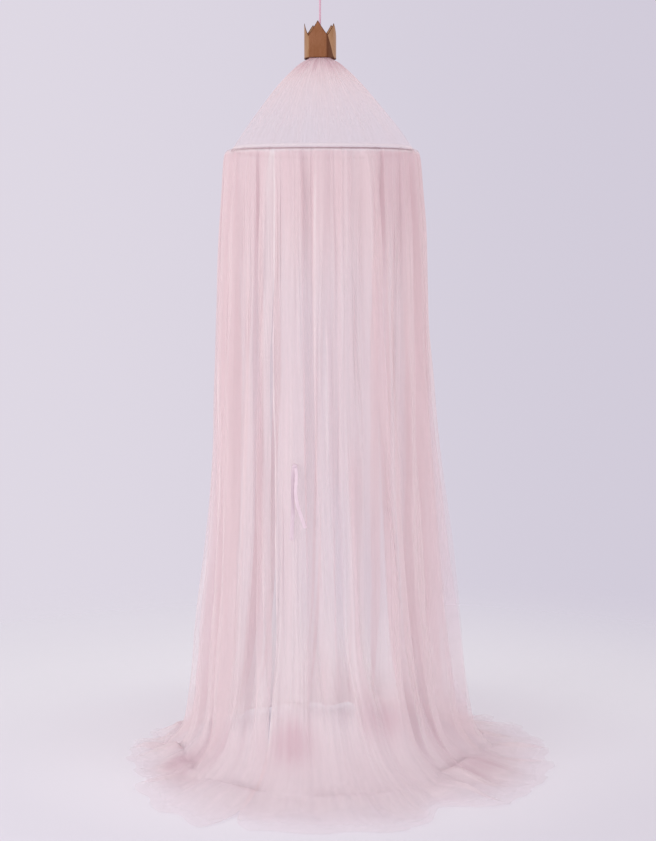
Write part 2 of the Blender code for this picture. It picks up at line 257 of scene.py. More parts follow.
# Heights over the floor at which the net changes as it falls.
MIDDLE_GROWN = Fade(1.98, 0.50)  # the middling folds open below the hoop
APRON_SMOOTH = Fade(0.48, 0.36)
CRUMPLED = Fade(0.36, 0.34)
FOOT_THREADS = Fade(0.34, 0.28)
FOOT_FLAT = Fade(0.30, 0.24)
FLOOR_LIGHT = Fade(1.30, 1.00)  # the floor lights the net from below
HANGING = Fade(0.02, 0.20)
GATHERED = Fade(1.96, 0.05)
CLOSE_FOLDS = Fade(1.50, 0.46)
FIRST_ROW = Fade(1.9985, 0.006)

# Parts of the way from the foot to the hem at which the net on the floor changes.
POOL_SMOOTH = Fade(0.90, 0.50)
HUMP_START, HUMP_END = Fade(0.0, 0.12), Fade(1.02, 0.50)
FOOT_PASSED = Fade(0.0, 0.25)
BUNCH_END = Fade(0.0, 1.10)
THIN_HEM = Fade(0.30, 0.70)
PALE_HEM = Fade(0.0, 0.60)

# The share of the light that the net stops, and what changes it.
NET_COVER = 0.46  # in one layer
GATHERED_MORE = 0.35
CLOSE_MORE = 0.70
BUNCHED_MORE = 0.45
HEM_FADE = 0.62  # how much thinner the net is at its hem, where it lies in one layer
FIRST_ROW_FADE = 0.72  # how much thinner the first row is, which is tucked in behind the hoop
EDGE_COVER, EDGE_PALE = 0.70, 0.95  # the hemmed edges of the opening: denser, with a painted highlight along them
LEAST_GAIN = 0.3

# How pale the net is where light catches it.
PALE_LOW = 0.36  # near the floor, which lights it from below
HEM_PALE = 0.35  # how much paler it is towards the hem
APRON_PALE = 0.30  # how much paler still it is at the front, just over where it spreads out
SPOT_DULL = 0.6  # how much less pale it is where it is bunched
SEAM_GATHERS, SEAM_PALE = 96, 0.3  # bright gathers just under the hoop

# Streaks of denser and thinner thread: the seed, the steps down the fall, and how soft they are.
FINE, MIDDLE, BROAD = Streaks(11, 6, 4), Streaks(12, 5, 15), Streaks(13, 4, 52)
ROOF_FINE, ROOF_BROAD = Streaks(21, 4, 4), Streaks(22, 3, 31)
WALL_THREADS = Threads(0.84, 0.05, 0.09, 0.18)
POOL_THREADS = Threads(0.92, 0.0, 0.0, 0.16)
SPOT_THREADS = Threads(0.45, 0.5, 0.6, 0.0)
ROOF_THREADS = Threads(0.60, 0.34, 0.0, 0.46)

# Where the net hangs denser or thinner: side and half width in degrees, heights, and the change.
BANDS = table(
    "side half low high gain",
    (-48, 13, 0.10, 1.95, 0.05),
    (-32, 7, 0.30, 1.40, -0.40),
    (-22, 4, 0.55, 1.25, 0.30),
    (-9, 5, 0.45, 1.60, -0.30),
    (11, 6, 0.20, 0.95, -0.52),
    (20, 4, 0.22, 1.05, 0.65),
    (31, 6, 0.28, 1.60, -0.25),
    (31, 4, 0.24, 0.90, -0.35),
    (52, 13, 0.05, 2.05, 0.30),
    (120, 18, 0.20, 1.90, 0.30),
    (-125, 16, 0.20, 1.80, 0.30),
    (178, 12, 0.30, 1.60, -0.25),
    (0, 50, 0.10, 0.40, 0.22),
    (86, 15, 0.10, 1.25, -0.55),
    (-92, 11, 0.20, 1.15, -0.28),
)
BAND_FADE = 0.22

# Places near the floor where the net is bunched up thick: where, and how much more it stops.
SPOTS = table(
    "x front height size gain",
    (-0.090, 0.44, 0.165, 0.080, 0.9),
    (0.205, 0.39, 0.235, 0.075, 1.0),
    (-0.460, 0.26, 0.015, 0.095, 0.80),
    (0.560, 0.27, 0.030, 0.115, 0.60),
    (0.430, 0.10, 0.120, 0.100, 0.5),
    (-0.310, 0.32, 0.130, 0.090, 0.5),
    (0.100, -0.46, 0.100, 0.120, 0.6),
    (-0.380, -0.32, 0.080, 0.120, 0.6),
    (0.420, -0.36, 0.060, 0.120, 0.5),
    (-0.230, 0.78, 0.010, 0.075, -0.6),
)

# Single sharp folds that catch the light: side in degrees, heights, and how much they stop.
CREASES = table(
    "side low high cover",
    (-28.6, 1.36, 1.92, 0.20),
    (-27.4, 0.55, 1.12, 0.80),
    (-22.0, 0.28, 0.55, 0.35),
    (5.0, 1.05, 1.44, 0.28),
    (-33.0, 1.34, 1.47, 0.35),
    (-10.0, 1.15, 1.50, 0.22),
    (-1.0, 0.95, 1.90, 0.16),
    (63.0, 0.30, 1.10, 0.20),
    (86.5, 0.35, 1.45, 0.30),
    (-91.0, 0.35, 1.20, 0.26),
    (98.0, 0.50, 1.60, 0.20),
    (133.0, 0.40, 1.50, 0.25),
    (171.0, 0.60, 1.80, 0.22),
    (-162.0, 0.35, 1.30, 0.25),
    (-112.0, 0.80, 1.85, 0.22),
    (-70.0, 0.45, 1.30, 0.20),
)
CREASE_HALF = 0.5  # degrees
CREASE_FADE = 0.12

# The tunnel of net round the hoop hides it little at the front, and wholly at the sides and behind.
TUNNEL = table(
    "side cover",
    (-180, 2.20),
    (-110, 2.20),
    (-80, 0.90),
    (-50, 0.35),
    (-30, 0.22),
    (-12, 0.14),
    (6, 0.10),
    (45, 0.05),
    (65, 0.10),
    (80, 0.90),
    (110, 2.20),
    (180, 2.20),
)

# ---------------------------------------------------------------- small helps


def z_of(height):
    return height - HANG_HEIGHT


def ease(x):
    x = np.clip(x, 0.0, 1.0)
    return x * x * (3 - 2 * x)


def above(value, fade):
    """0 up to the fade's start, and 1 from its whole reach over that."""
    return ease((value - fade.start) / fade.over)


def below(value, fade):
    """0 down to the fade's start, and 1 from its whole reach under that."""
    return ease((fade.start - value) / fade.over)


def blend(low, high, share):
    return low + (high - low) * share


def column_of(rows, name):
    return np.array([getattr(row, name) for row in rows])


def curve_through(xs, ys, at):
    """Heights of a smooth curve through points with rising xs, which never swings past them."""
    steps = np.diff(xs)
    slopes = np.diff(ys) / steps
    both = slopes[:-1] * slopes[1:]
    inner = np.where(both > 0, 2 * both / np.where(both > 0, slopes[:-1] + slopes[1:], 1.0), 0.0)
    tangents = np.concatenate([slopes[:1], inner, slopes[-1:]])
    i = np.clip(np.searchsorted(xs, at, side="right") - 1, 0, len(xs) - 2)
    t = np.clip((at - xs[i]) / steps[i], 0.0, 1.0)
    low, high = ys[i], ys[i + 1]
    pull = t * (1 - t) * ((1 - t) * tangents[i] - t * tangents[i + 1]) * steps[i]
    return blend(low, high, ease(t)) + pull


def read_table(rows, key, at):
    """A smooth reading of each column of a table at the places given, by name."""
    order = np.argsort(column_of(rows, key))
    keys = column_of(rows, key)[order]
    names = [name for name in rows[0]._fields if name != key]
    return {name: curve_through(keys, column_of(rows, name)[order], at) for name in names}


def mesh_object(name, points, faces, smooth=True):
    data = bpy.data.meshes.new(name)
    data.from_pydata([tuple(p) for p in points], [], faces)
    data.validate()
    if smooth:
        data.shade_smooth()
    made = bpy.data.objects.new(name, data)
    bpy.context.scene.collection.objects.link(made)
    return made


def add_attribute(data, label, values):
    layer = data.attributes.new(label, "FLOAT", "POINT")
    layer.data.foreach_set("value", values.astype(np.float32).ravel())


def grid_faces(rows, columns, around=False):
    faces = []
    last = columns if around else columns - 1
    for i in range(rows - 1):
        for j in range(last):
            k = (j + 1) % columns
            faces.append((i * columns + j, (i + 1) * columns + j, (i + 1) * columns + k, i * columns + k))
    return faces


def sheet_object(name, points, uvs, looks, finish, around=False):
    """A sheet through rows of points, with its flat places in a UV map and its looks in attributes."""
    rows, columns = points.shape[:2]
    made = mesh_object(name, points.reshape(-1, 3), grid_faces(rows, columns, around))
    data = made.data
    flat = data.uv_layers.new(name="flat")
    corner = np.empty(len(data.loops), np.int32)
    data.loops.foreach_get("vertex_index", corner)
    flat_places = uvs.reshape(-1, 2)[corner]
    if around:
        across = (corner % columns).reshape(-1, 4)
        wraps = across.max(axis=1) - across.min(axis=1) > columns // 2
        first = (across == 0) & wraps[:, None]
        flat_places[first.reshape(-1), 0] += CLOTH_WIDTH
    flat.data.foreach_set("uv", flat_places.astype(np.float32).ravel())
    for label, values in looks.items():
        add_attribute(data, label, np.broadcast_to(values, (rows, columns)))
    made.data.materials.append(finish)
    return made


def streaks(kind, columns, down):
    """Random threads of denser and thinner net, long down the fall and narrow across it, from 0 to 1."""
    soft = kind.softness
    knots = np.random.default_rng(kind.seed).random((kind.levels, columns))
    kernel = np.hanning(soft + 2)[1:-1]
    kernel /= kernel.sum()
    wide = np.concatenate([knots[:, -soft:], knots, knots[:, :soft]], axis=1)
    smoothed = np.array([np.convolve(row, kernel, mode="same") for row in wide])[:, soft:-soft]
    smoothed = (smoothed - smoothed.mean()) / (smoothed.std() * 4) + 0.5
    at = np.clip(down / down[-1], 0, 1) * (kind.levels - 1)
    low = np.minimum(at.astype(int), kind.levels - 2)
    return np.clip(blend(smoothed[low], smoothed[low + 1], ease(at - low)[:, None]), 0.0, 1.0)


def thread_share(mix, fine=0.0, middle=0.0, broad=0.0):
    return mix.even + mix.fine * fine + mix.middle * middle + mix.broad * broad


WAVE_COUNT = 14
WAVE_LEAST, WAVE_MOST = 0.6, 1.8  # of the width and length that are asked for


def waves(kind, across, along):
    """Uneven soft waves over the cloth, mostly within their depth to each side of 0."""
    draw = np.random.default_rng(kind.seed)
    total = 0.0
    for _ in range(WAVE_COUNT):
        wide = kind.width * draw.uniform(WAVE_LEAST, WAVE_MOST)
        long = kind.length * draw.uniform(WAVE_LEAST, WAVE_MOST) * draw.choice((-1, 1))
        total = total + np.sin(2 * pi * (across / wide + along / long) + draw.uniform(0, 2 * pi))
    return kind.depth * total / (1.6 * (WAVE_COUNT / 2) ** 0.5)


def window(value, low, high, fade):
    """1 between low and high, and fading to 0 outside them."""
    return ease((value - low) / fade + 0.5) * ease((high - value) / fade + 0.5)


def around_from(side, centre):
    """The turn in degrees from one side to another, the short way round."""
    return (np.degrees(side) - centre + 180) % 360 - 180


# ---------------------------------------------------------------- node trees


class Wire:
    """One value in a node tree. A sum written with wires adds its Math nodes."""

    def __init__(self, tree, socket):
        self.tree = tree
        self.socket = socket

    def math(self, operation, *others):
        values = dict(enumerate((self, *others)))
        return self.tree.add("ShaderNodeMath", {"operation": operation}, values)

    def __add__(self, other):
        return self.math("ADD", other)

    def __sub__(self, other):
        return self.math("SUBTRACT", other)

    def __rsub__(self, other):
        return self.tree.add("ShaderNodeMath", {"operation": "SUBTRACT"}, {0: other, 1: self})

    def __mul__(self, other):
        return self.math("MULTIPLY", other)

    def __truediv__(self, other):
        return self.math("DIVIDE", other)

    def __rtruediv__(self, other):
        return self.tree.add("ShaderNodeMath", {"operation": "DIVIDE"}, {0: other, 1: self})

    def __pow__(self, other):
        return self.math("POWER", other)

    __radd__, __rmul__ = __add__, __mul__

    def sine(self):
        return self.math("SINE")

    def size(self):
        return self.math("ABSOLUTE")

    def within(self, low=0.0, high=1.0):
        return self.tree.add("ShaderNodeClamp", {}, {"Value": self, "Min": low, "Max": high})

    def step_up(self, low, high):
        """0 below low, 1 above high, and smooth between."""
        values = {"Value": self, "From Min": low, "From Max": high}
        return self.tree.add("ShaderNodeMapRange", {"interpolation_type": "SMOOTHSTEP"}, values)


class Tree:
    """A node tree that is built from expressions."""

    def __init__(self, group):
        self.group = group

    def add(self, kind, settings, values, out=0):
        """A node of this kind: its settings, then its sockets' values and wires. Gives one of its outputs."""
        node = self.group.nodes.new(kind)
        for name, value in settings.items():
            setattr(node, name, value)
        for name, value in values.items():
            if isinstance(value, Wire):
                self.group.links.new(value.socket, node.inputs[name])
            else:
                node.inputs[name].default_value = value
        return Wire(self, node.outputs[out]) if node.outputs else None

    def tint(self, share, low, high):
        """A mix of two colours."""
        settings = {"data_type": "RGBA", "clamp_factor": True}
        return self.add("ShaderNodeMix", settings, {0: share, 6: opaque(low), 7: opaque(high)}, out=2)

    def noise(self, place, scale, detail=2.0, rough=0.5, dimensions="3D"):
        values = {"Vector": place, "Scale": scale, "Detail": detail, "Roughness": rough}
        return self.add("ShaderNodeTexNoise", {"noise_dimensions": dimensions}, values)

    def stretched(self, place, scale):
        """A place with its axes scaled, so that a pattern on it is drawn out."""
        return self.add("ShaderNodeMapping", {}, {"Vector": place, "Scale": scale})

    def object_place(self):
        return self.add("ShaderNodeTexCoord", {}, {}, out=3)

    def flat_place(self, name="flat"):
        return self.add("ShaderNodeUVMap", {"uv_map": name}, {})

    def attribute(self, name):
        return self.add("ShaderNodeAttribute", {"attribute_name": name}, {}, out=2)

    def split(self, place):
        """The three numbers of a place."""
        first = self.add("ShaderNodeSeparateXYZ", {}, {0: place})
        return [Wire(self, socket) for socket in first.socket.node.outputs]

    def bump(self, height, strength, distance):
        return self.add("ShaderNodeBump", {}, {"Height": height, "Strength": strength, "Distance": distance})


def opaque(colour):
    return colour if isinstance(colour, Wire) else (*colour, 1.0)


def new_material(name):
    made = bpy.data.materials.new(name)
    made.use_nodes = True
    made.node_tree.nodes.clear()
    return made, Tree(made.node_tree)


def show(tree, shader):
    tree.add("ShaderNodeOutputMaterial", {}, {"Surface": shader})


def principled(tree, values):
    return tree.add("ShaderNodeBsdfPrincipled", {}, values)


# ---------------------------------------------------------------- finishes

NET_PALE = (0.85, 0.76, 0.78)  # where the net is thin
NET_PINK = (0.84, 0.735, 0.755)  # where it is gathered
NET_DEEP = (0.62, 0.40, 0.46)  # where it is bunched many layers deep
NET_EDGE = (0.95, 0.91, 0.92)  # where a fold catches the light
NET_THROUGH = (0.86, 0.73, 0.755)  # the light that shines through it
NET_CLEAR = (1.0, 0.988, 0.993)  # the blush that its threads give to what shows between them
MESH_PITCH = 0.0016
MESH_LEAN = 1.732  # the root of 3, for threads that run three ways, 60 degrees apart
HOLE_THIN = 0.75  # how much thinner the net is in its holes
THROUGH = 0.48  # the share of the light on a thread that shines through it
MOST_COVER = 0.95


def net_finish(name):
    """Sheer net: a fine mesh that lets the light through, denser where the sheet says so."""
    made, tree = new_material(name)
    flat = tree.flat_place()
    across, along, _ = tree.split(flat)
    turn = pi / MESH_PITCH
    rise = along * (turn * MESH_LEAN)
    leaning = (across * turn + rise).sine() * (across * turn - rise).sine()
    threads = (leaning * (across * turn).sine()).size()
    holes = threads.step_up(0.10, 0.55)
    cloudy = tree.noise(tree.stretched(flat, (26.0, 1.6, 1.0)), 1.0, dimensions="2D")
    dense = tree.attribute("cover")
    colour = tree.tint(dense.step_up(0.05, 0.26), NET_PALE, NET_PINK)
    colour = tree.tint(dense.step_up(0.50, 1.30), colour, NET_DEEP)
    # painted highlight: the pale attribute tints the net towards NET_EDGE where light catches it
    colour = tree.tint(tree.attribute("pale"), colour, NET_EDGE)
    cover = dense * (1.30 - HOLE_THIN * holes) * (0.80 + 0.4 * cloudy)
    surface = principled(tree, {
        "Base Color": colour, "Roughness": 0.62, "Specular IOR Level": 0.35,
        "Sheen Weight": 0.25, "Sheen Roughness": 0.4, "Sheen Tint": (1.0, 0.9, 0.94, 1.0),
    })
    through = tree.add("ShaderNodeBsdfTranslucent", {}, {"Color": opaque(NET_THROUGH)})
    cloth = tree.add("ShaderNodeMixShader", {}, {0: THROUGH, 1: surface, 2: through})
    clear = tree.add("ShaderNodeBsdfTransparent", {}, {"Color": opaque(NET_CLEAR)})
    show(tree, tree.add("ShaderNodeMixShader", {}, {0: cover.within(0.0, MOST_COVER), 1: clear, 2: cloth}))
    return made


GOLD_DEEP, GOLD_BRIGHT, GOLD_EDGE_AND_SHADE = (0.56, 0.36, 0.19), (0.66, 0.45, 0.27), (0.16, 0.06, 0.035)
SLEEVE = (0.22, 0.135, 0.165), (0.31, 0.20, 0.235)
DUSKY_THREAD = (0.24, 0.10, 0.13), (0.42, 0.22, 0.27)
PALE_THREAD = (0.90, 0.74, 0.77), (0.97, 0.88, 0.90)
CORD_PINK = (0.52, 0.25, 0.36), (0.80, 0.56, 0.66)
RIBBON_MAUVE = (0.61, 0.47, 0.55), (0.74, 0.62, 0.69)
RIBBON_EDGE = (0.57, 0.44, 0.51)


def gold_finish():
    """Brushed gold-coloured sheet: lines drawn up the strip, duller in patches, dark cut edges, and painted
    shade on the lapped end.
    """
    made, tree = new_material("crown_gold")
    place = tree.object_place()
    drawn = tree.noise(tree.stretched(place, (900.0, 900.0, 14.0)), 1.0, detail=3.0)
    cloudy = tree.noise(tree.stretched(place, (46.0, 46.0, 20.0)), 1.0, detail=3.0, rough=0.6)
    # this mask holds the dark cut edges and also painted shade on the crown's lapped end, both in the dark
    # edge colour
    rim_and_lap_shade = tree.attribute("rim_and_lap_shade").step_up(0.15, 0.9)
    colour = tree.tint(cloudy.step_up(0.3, 0.7), GOLD_DEEP, GOLD_BRIGHT)
    colour = tree.tint(rim_and_lap_shade, colour, GOLD_EDGE_AND_SHADE)
    rough = 0.14 + 0.10 * cloudy + 0.10 * drawn + 0.2 * rim_and_lap_shade
    show(tree, principled(tree, {
        "Base Color": colour, "Metallic": 1.0, "Roughness": rough,
        "Normal": tree.bump(drawn, 0.15, 0.0004),
    }))
    return made


def hoop_finish():
    """A dull mauve plastic sleeve over the wire."""
    made, tree = new_material("hoop_sleeve")
    cloudy = tree.noise(tree.object_place(), 60.0, detail=3.0)
    show(tree, principled(tree, {
        "Base Color": tree.tint(cloudy, *SLEEVE),
        "Roughness": 0.38 + 0.2 * cloudy,
        "Normal": tree.bump(cloudy, 0.1, 0.0005),
    }))
    return made


def thread_finish(name, colours):
    """Twisted sewing thread."""
    made, tree = new_material(name)
    twist = tree.noise(tree.stretched(tree.object_place(), (1800.0, 1800.0, 700.0)), 1.0)
    show(tree, principled(tree, {
        "Base Color": tree.tint(twist, *colours), "Roughness": 0.55, "Sheen Weight": 0.3,
    }))
    return made


def cord_finish():
    """Satin cord: bright filaments along the strands, dusky between them."""
    made, tree = new_material("satin_cord")
    place = tree.object_place()
    fibre = tree.noise(tree.stretched(place, (1500.0, 1500.0, 260.0)), 1.0, detail=2.0)
    colour = tree.tint(fibre.step_up(0.25, 0.75), *CORD_PINK)
    show(tree, principled(tree, {
        "Base Color": colour, "Roughness": 0.38 + 0.2 * fibre,
        "Sheen Weight": 0.4, "Sheen Roughness": 0.3,
        "Normal": tree.bump(fibre, 0.5, 0.0006),
    }))
    return made


def ribbon_finish():
    """Satin ribbon: fine warp lines with a soft gloss, and a tighter woven edge."""
    made, tree = new_material("satin_ribbon")
    flat = tree.flat_place()
    warp = tree.noise(tree.stretched(flat, (2600.0, 60.0, 1.0)), 1.0, dimensions="2D")
    across, _, _ = tree.split(flat)
    edge = (across - RIBBON_WIDTH / 2).size().step_up(RIBBON_WIDTH * 0.40, RIBBON_WIDTH * 0.46)
    colour = tree.tint(warp.step_up(0.3, 0.7), *RIBBON_MAUVE)
    show(tree, principled(tree, {
        "Base Color": tree.tint(edge * 0.5, colour, RIBBON_EDGE),
        "Roughness": 0.26 + 0.14 * warp + 0.15 * edge,
        "Sheen Weight": 0.3,
        "Normal": tree.bump(warp, 0.25, 0.0003),
    }))
    return made


# ---------------------------------------------------------------- stage, light and camera

CAMERA_PLACE = (0.026, -5.59, -0.923)
CAMERA_PITCH = radians(5.64)  # downwards
FOCAL_PIXELS = 1687.0  # of the photo's height of 841
IMAGE_HEIGHT = 841
SENSOR = 36.0


def make_camera():
    data = bpy.data.cameras.new("camera")
    data.sensor_width = SENSOR
    data.lens = FOCAL_PIXELS * SENSOR / IMAGE_HEIGHT
    made = bpy.data.objects.new("camera", data)
    bpy.context.scene.collection.objects.link(made)
    made.location = CAMERA_PLACE
    made.rotation_euler = (pi / 2 - CAMERA_PITCH, 0.0, 0.0)
    bpy.context.scene.camera = made


LIGHTS = table(
    "name place aim size power colour",
    ("key", (-3.0, -2.8, -0.9), (0.0, 0.0, -1.8), (2.6, 2.6), 74.0, (1.0, 0.98, 0.96)),
    ("fill", (3.6, -2.4, -0.9), (0.0, 0.0, -1.8), (2.4, 3.0), 35.0, (1.0, 0.97, 0.97)),
    ("over", (0.3, 0.6, 2.6), (0.0, 0.0, -0.4), (2.2, 2.2), 10.0, (1.0, 0.97, 0.97)),
)


def make_light(light):
    data = bpy.data.lights.new(light.name, "AREA")
    data.shape = "RECTANGLE"
    data.size, data.size_y = light.size
    data.energy = light.power
    data.color = light.colour
    made = bpy.data.objects.new(light.name, data)
    bpy.context.scene.collection.objects.link(made)
    made.location = light.place
    made.rotation_euler = (Vector(light.aim) - Vector(light.place)).to_track_quat("-Z", "Y").to_euler()
    made.visible_glossy = False


BACK_LEFT = (0.735, 0.690, 0.775)
BACK_RIGHT = (0.640, 0.600, 0.700)
ROOM_LEFT = (1.00, 0.97, 1.00)
ROOM_RIGHT = (0.82, 0.79, 0.84)
ROOM_ABOVE = (0.76, 0.735, 0.74)
ROOM_FRONT = (0.46, 0.27, 0.24)
FLOOR_NEAR = (0.70, 0.68, 0.755)
FLOOR_FAR = (0.84, 0.83, 0.89)
FLOOR_LIT = (0.785, 0.765, 0.83)  # under and beside the net, which sheds light on it
FLOOR_RADIUS = 3.4
FLOOR_GONE = (1.1, 3.2)  # from here on it fades into the room


def make_room():
    """An even pale room, lighter to the left. A mirroring surface sees a warm dusk towards the front."""
    world = bpy.data.worlds.new("room")
    bpy.context.scene.world = world
    world.use_nodes = True
    world.node_tree.nodes.clear()
    tree = Tree(world.node_tree)
    to_right, to_back, up = tree.split(tree.add("ShaderNodeTexCoord", {}, {}, out=0))
    seen = tree.tint(to_right.step_up(-0.22, 0.22), BACK_LEFT, BACK_RIGHT)
    walls = tree.tint(to_right.step_up(-0.8, 0.8), ROOM_LEFT, ROOM_RIGHT)
    lit = tree.tint(up.step_up(-0.1, 0.9), walls, ROOM_ABOVE)
    front = (0.0 - to_back).step_up(0.40, 0.72) * (1.0 - up.size().step_up(0.30, 0.55))
    direct = tree.add("ShaderNodeLightPath", {}, {})
    mirrored = Wire(tree, direct.socket.node.outputs["Is Glossy Ray"])
    lit = tree.tint((front * 0.40 + 0.60) * mirrored, lit, ROOM_FRONT)
    light = tree.add("ShaderNodeBackground", {}, {"Color": tree.tint(direct, lit, seen), "Strength": 1.0})
    tree.add("ShaderNodeOutputWorld", {}, {"Surface": light})


def make_stage():
    """A pale floor that runs out into the room, lit softly from above and the left."""
    make_room()
    made, tree = new_material("floor_paper")
    place = tree.object_place()
    far = tree.add("ShaderNodeVectorMath", {"operation": "LENGTH"}, {0: place}, out=1)
    paper = tree.tint(tree.split(place)[1].step_up(-0.9, 1.3), FLOOR_NEAR, FLOOR_FAR)
    paper = tree.tint(far.step_up(0.6, 1.2), FLOOR_LIT, paper)
    surface = principled(tree, {"Base Color": paper, "Roughness": 0.9, "Specular IOR Level": 0.1})
    clear = tree.add("ShaderNodeBsdfTransparent", {}, {})
    show(tree, tree.add("ShaderNodeMixShader", {}, {0: far.step_up(*FLOOR_GONE), 1: surface, 2: clear}))
    mesh = bmesh.new()
    bmesh.ops.create_circle(mesh, cap_ends=True, segments=96, radius=FLOOR_RADIUS)
    data = bpy.data.meshes.new("floor")
    mesh.to_mesh(data)
    mesh.free()
    floor = bpy.data.objects.new("floor", data)
    bpy.context.scene.collection.objects.link(floor)
    floor.location = (0.0, 0.0, FLOOR)
    data.materials.append(made)

    for light in LIGHTS:
        make_light(light)


bpy.context.scene.view_settings.view_transform = "Standard"
bpy.context.scene.cycles.transparent_max_bounces = 64

# ---------------------------------------------------------------- the hanging net


def hem_reach(side):
    """The hem's distance at sides in degrees, eased between the outline's rows."""
    sides = np.concatenate([[-180.0], column_of(HEM, "side")])
    reaches = np.concatenate([[HEM[-1].reach], column_of(HEM, "reach")])
    side = (side + 180) % 360 - 180
    i = np.clip(np.searchsorted(sides, side, side="right") - 1, 0, len(sides) - 2)
    return blend(reaches[i], reaches[i + 1], ease((side - sides[i]) / (sides[i + 1] - sides[i])))


def reach(side, row):
    """The distance to a section's oval, which reaches a different way to each side."""
    across = np.sin(side) / np.where(np.sin(side) > 0, row["right"], row["left"])
    deep = np.cos(side) / np.where(np.cos(side) > 0, row["front"], row["back"])
    return 1 / np.hypot(across, deep)


def flare(side, height):
    """How far the broad folds stand out that stand out from the rest."""
    out = 0.0
    for row in FLARES:
        grown = below(height, Fade(row.start, row.start - FLARE_FULL))
        out = out + row.out * grown * np.exp(-((around_from(side, row.side) / row.half) ** 2))
    return out


def flat_stretch(side, height):
    """How far those folds stretch the net flat: 0 to 1."""
    return np.minimum(flare(side, height) / FLARES[0].out, 1.0)


def sway(side, height):
    fall = 1 - height / HOOP_HEIGHT
    return fall * sum(radians(row.degrees) * np.sin(row.waves * side + row.start) for row in SWAY)


APRON_LEFT, APRON_RIGHT, APRON_FADE = -38, 34, 26  # degrees


def apron(side):
    """1 at the front, where the net spreads out smooth over the floor, and 0 to the sides and behind."""
    return window(around_from(side, 0.0), APRON_LEFT, APRON_RIGHT, APRON_FADE)


def uneven(number, along, lively):
    return 1 + lively.amount * np.sin(lively.each * number + lively.along * along)


def fold_corners():
    """The corners of the broad folds: share of the turn, depth, and which fold each is in."""
    whole = sum(fold.share for fold in FOLDS)
    start, found = 0.0, []
    for number, fold in enumerate(FOLDS):
        for corner in FOLD_TURNS:
            found.append(((start + corner.at * fold.share) / whole, corner.deep * fold.depth, number))
        start += fold.share
    found.append((1.0, FOLDS[0].depth, len(FOLDS)))
    return np.array(found).T


CORNER_TURN, CORNER_DEEP, CORNER_FOLD = fold_corners()
SKIRT_COLUMNS = 1052
TURN = np.linspace(CORNER_TURN[0], 1.0, SKIRT_COLUMNS)
CORNER_BEFORE = np.clip(np.searchsorted(CORNER_TURN, TURN, side="right") - 1, 0, len(CORNER_TURN) - 2)
CORNER_SHARE = ease((TURN - CORNER_TURN[CORNER_BEFORE]) / np.diff(CORNER_TURN)[CORNER_BEFORE])


def between_corners(values):
    """Values at the folds' corners, one row of them for each row of the sheet, eased across it."""
    return blend(values[:, CORNER_BEFORE], values[:, CORNER_BEFORE + 1], CORNER_SHARE)


def side_of(turn, height, distance, slit, gap):
    half = gap / distance / 2
    share = (turn - TURN[0]) / (TURN[-1] - TURN[0])
    side = np.radians(slit) + half + share * (2 * pi - 2 * half)
    return side + sway(side, height) * np.sin(pi * share).clip(0.0) ** 0.5


def gather_phase(down):
    """Where each place lies in its fine fold, in radians. The fine folds wander and change width."""
    around = TURN * AROUND
    return 2 * pi * GATHERS * TURN + waves(FOLD_WANDER, around, down) + waves(FOLD_JITTER, around, down)


def gather_size(down):
    """How deep the fine folds are, different round the net and down it."""
    return np.clip(0.58 + waves(FOLD_SIZE, TURN * AROUND, down), 0.08, 1.15)


def fold_lean(along):
    """The sideways lean of each corner in shares of its fold's depth: the ridges lean, the furrows stay."""
    lean = np.sin(LEAN_EACH * CORNER_FOLD + LEAN_START + LEAN_ALONG * along)
    return LEAN * lean * (1 - np.minimum(1.0, CORNER_DEEP))


WALL_HEIGHTS = np.concatenate([
    [2.0120, 2.0112, 2.0100, 2.0060, 2.0010, 1.9940, 1.9850],
    np.linspace(1.972, 0.40, 40),
    np.linspace(0.375, 0.04, 17),
])
POOL_WAYS = np.concatenate([np.linspace(0.025, 0.35, 12), np.linspace(0.39, 0.95, 15), [0.98, 1.0]])


def tangent_of(side):
    return np.stack([np.cos(side), np.sin(side), 0 * side], axis=-1)


def outward_of(side):
    return np.stack([np.sin(side), -np.cos(side), 0 * side], axis=-1)


UP = np.array([0.0, 0.0, 1.0])


NEAR_HOOP = table("height size", (1.60, 1.0), (1.95, 0.7), (2.003, 0.30), (2.012, 0.05))


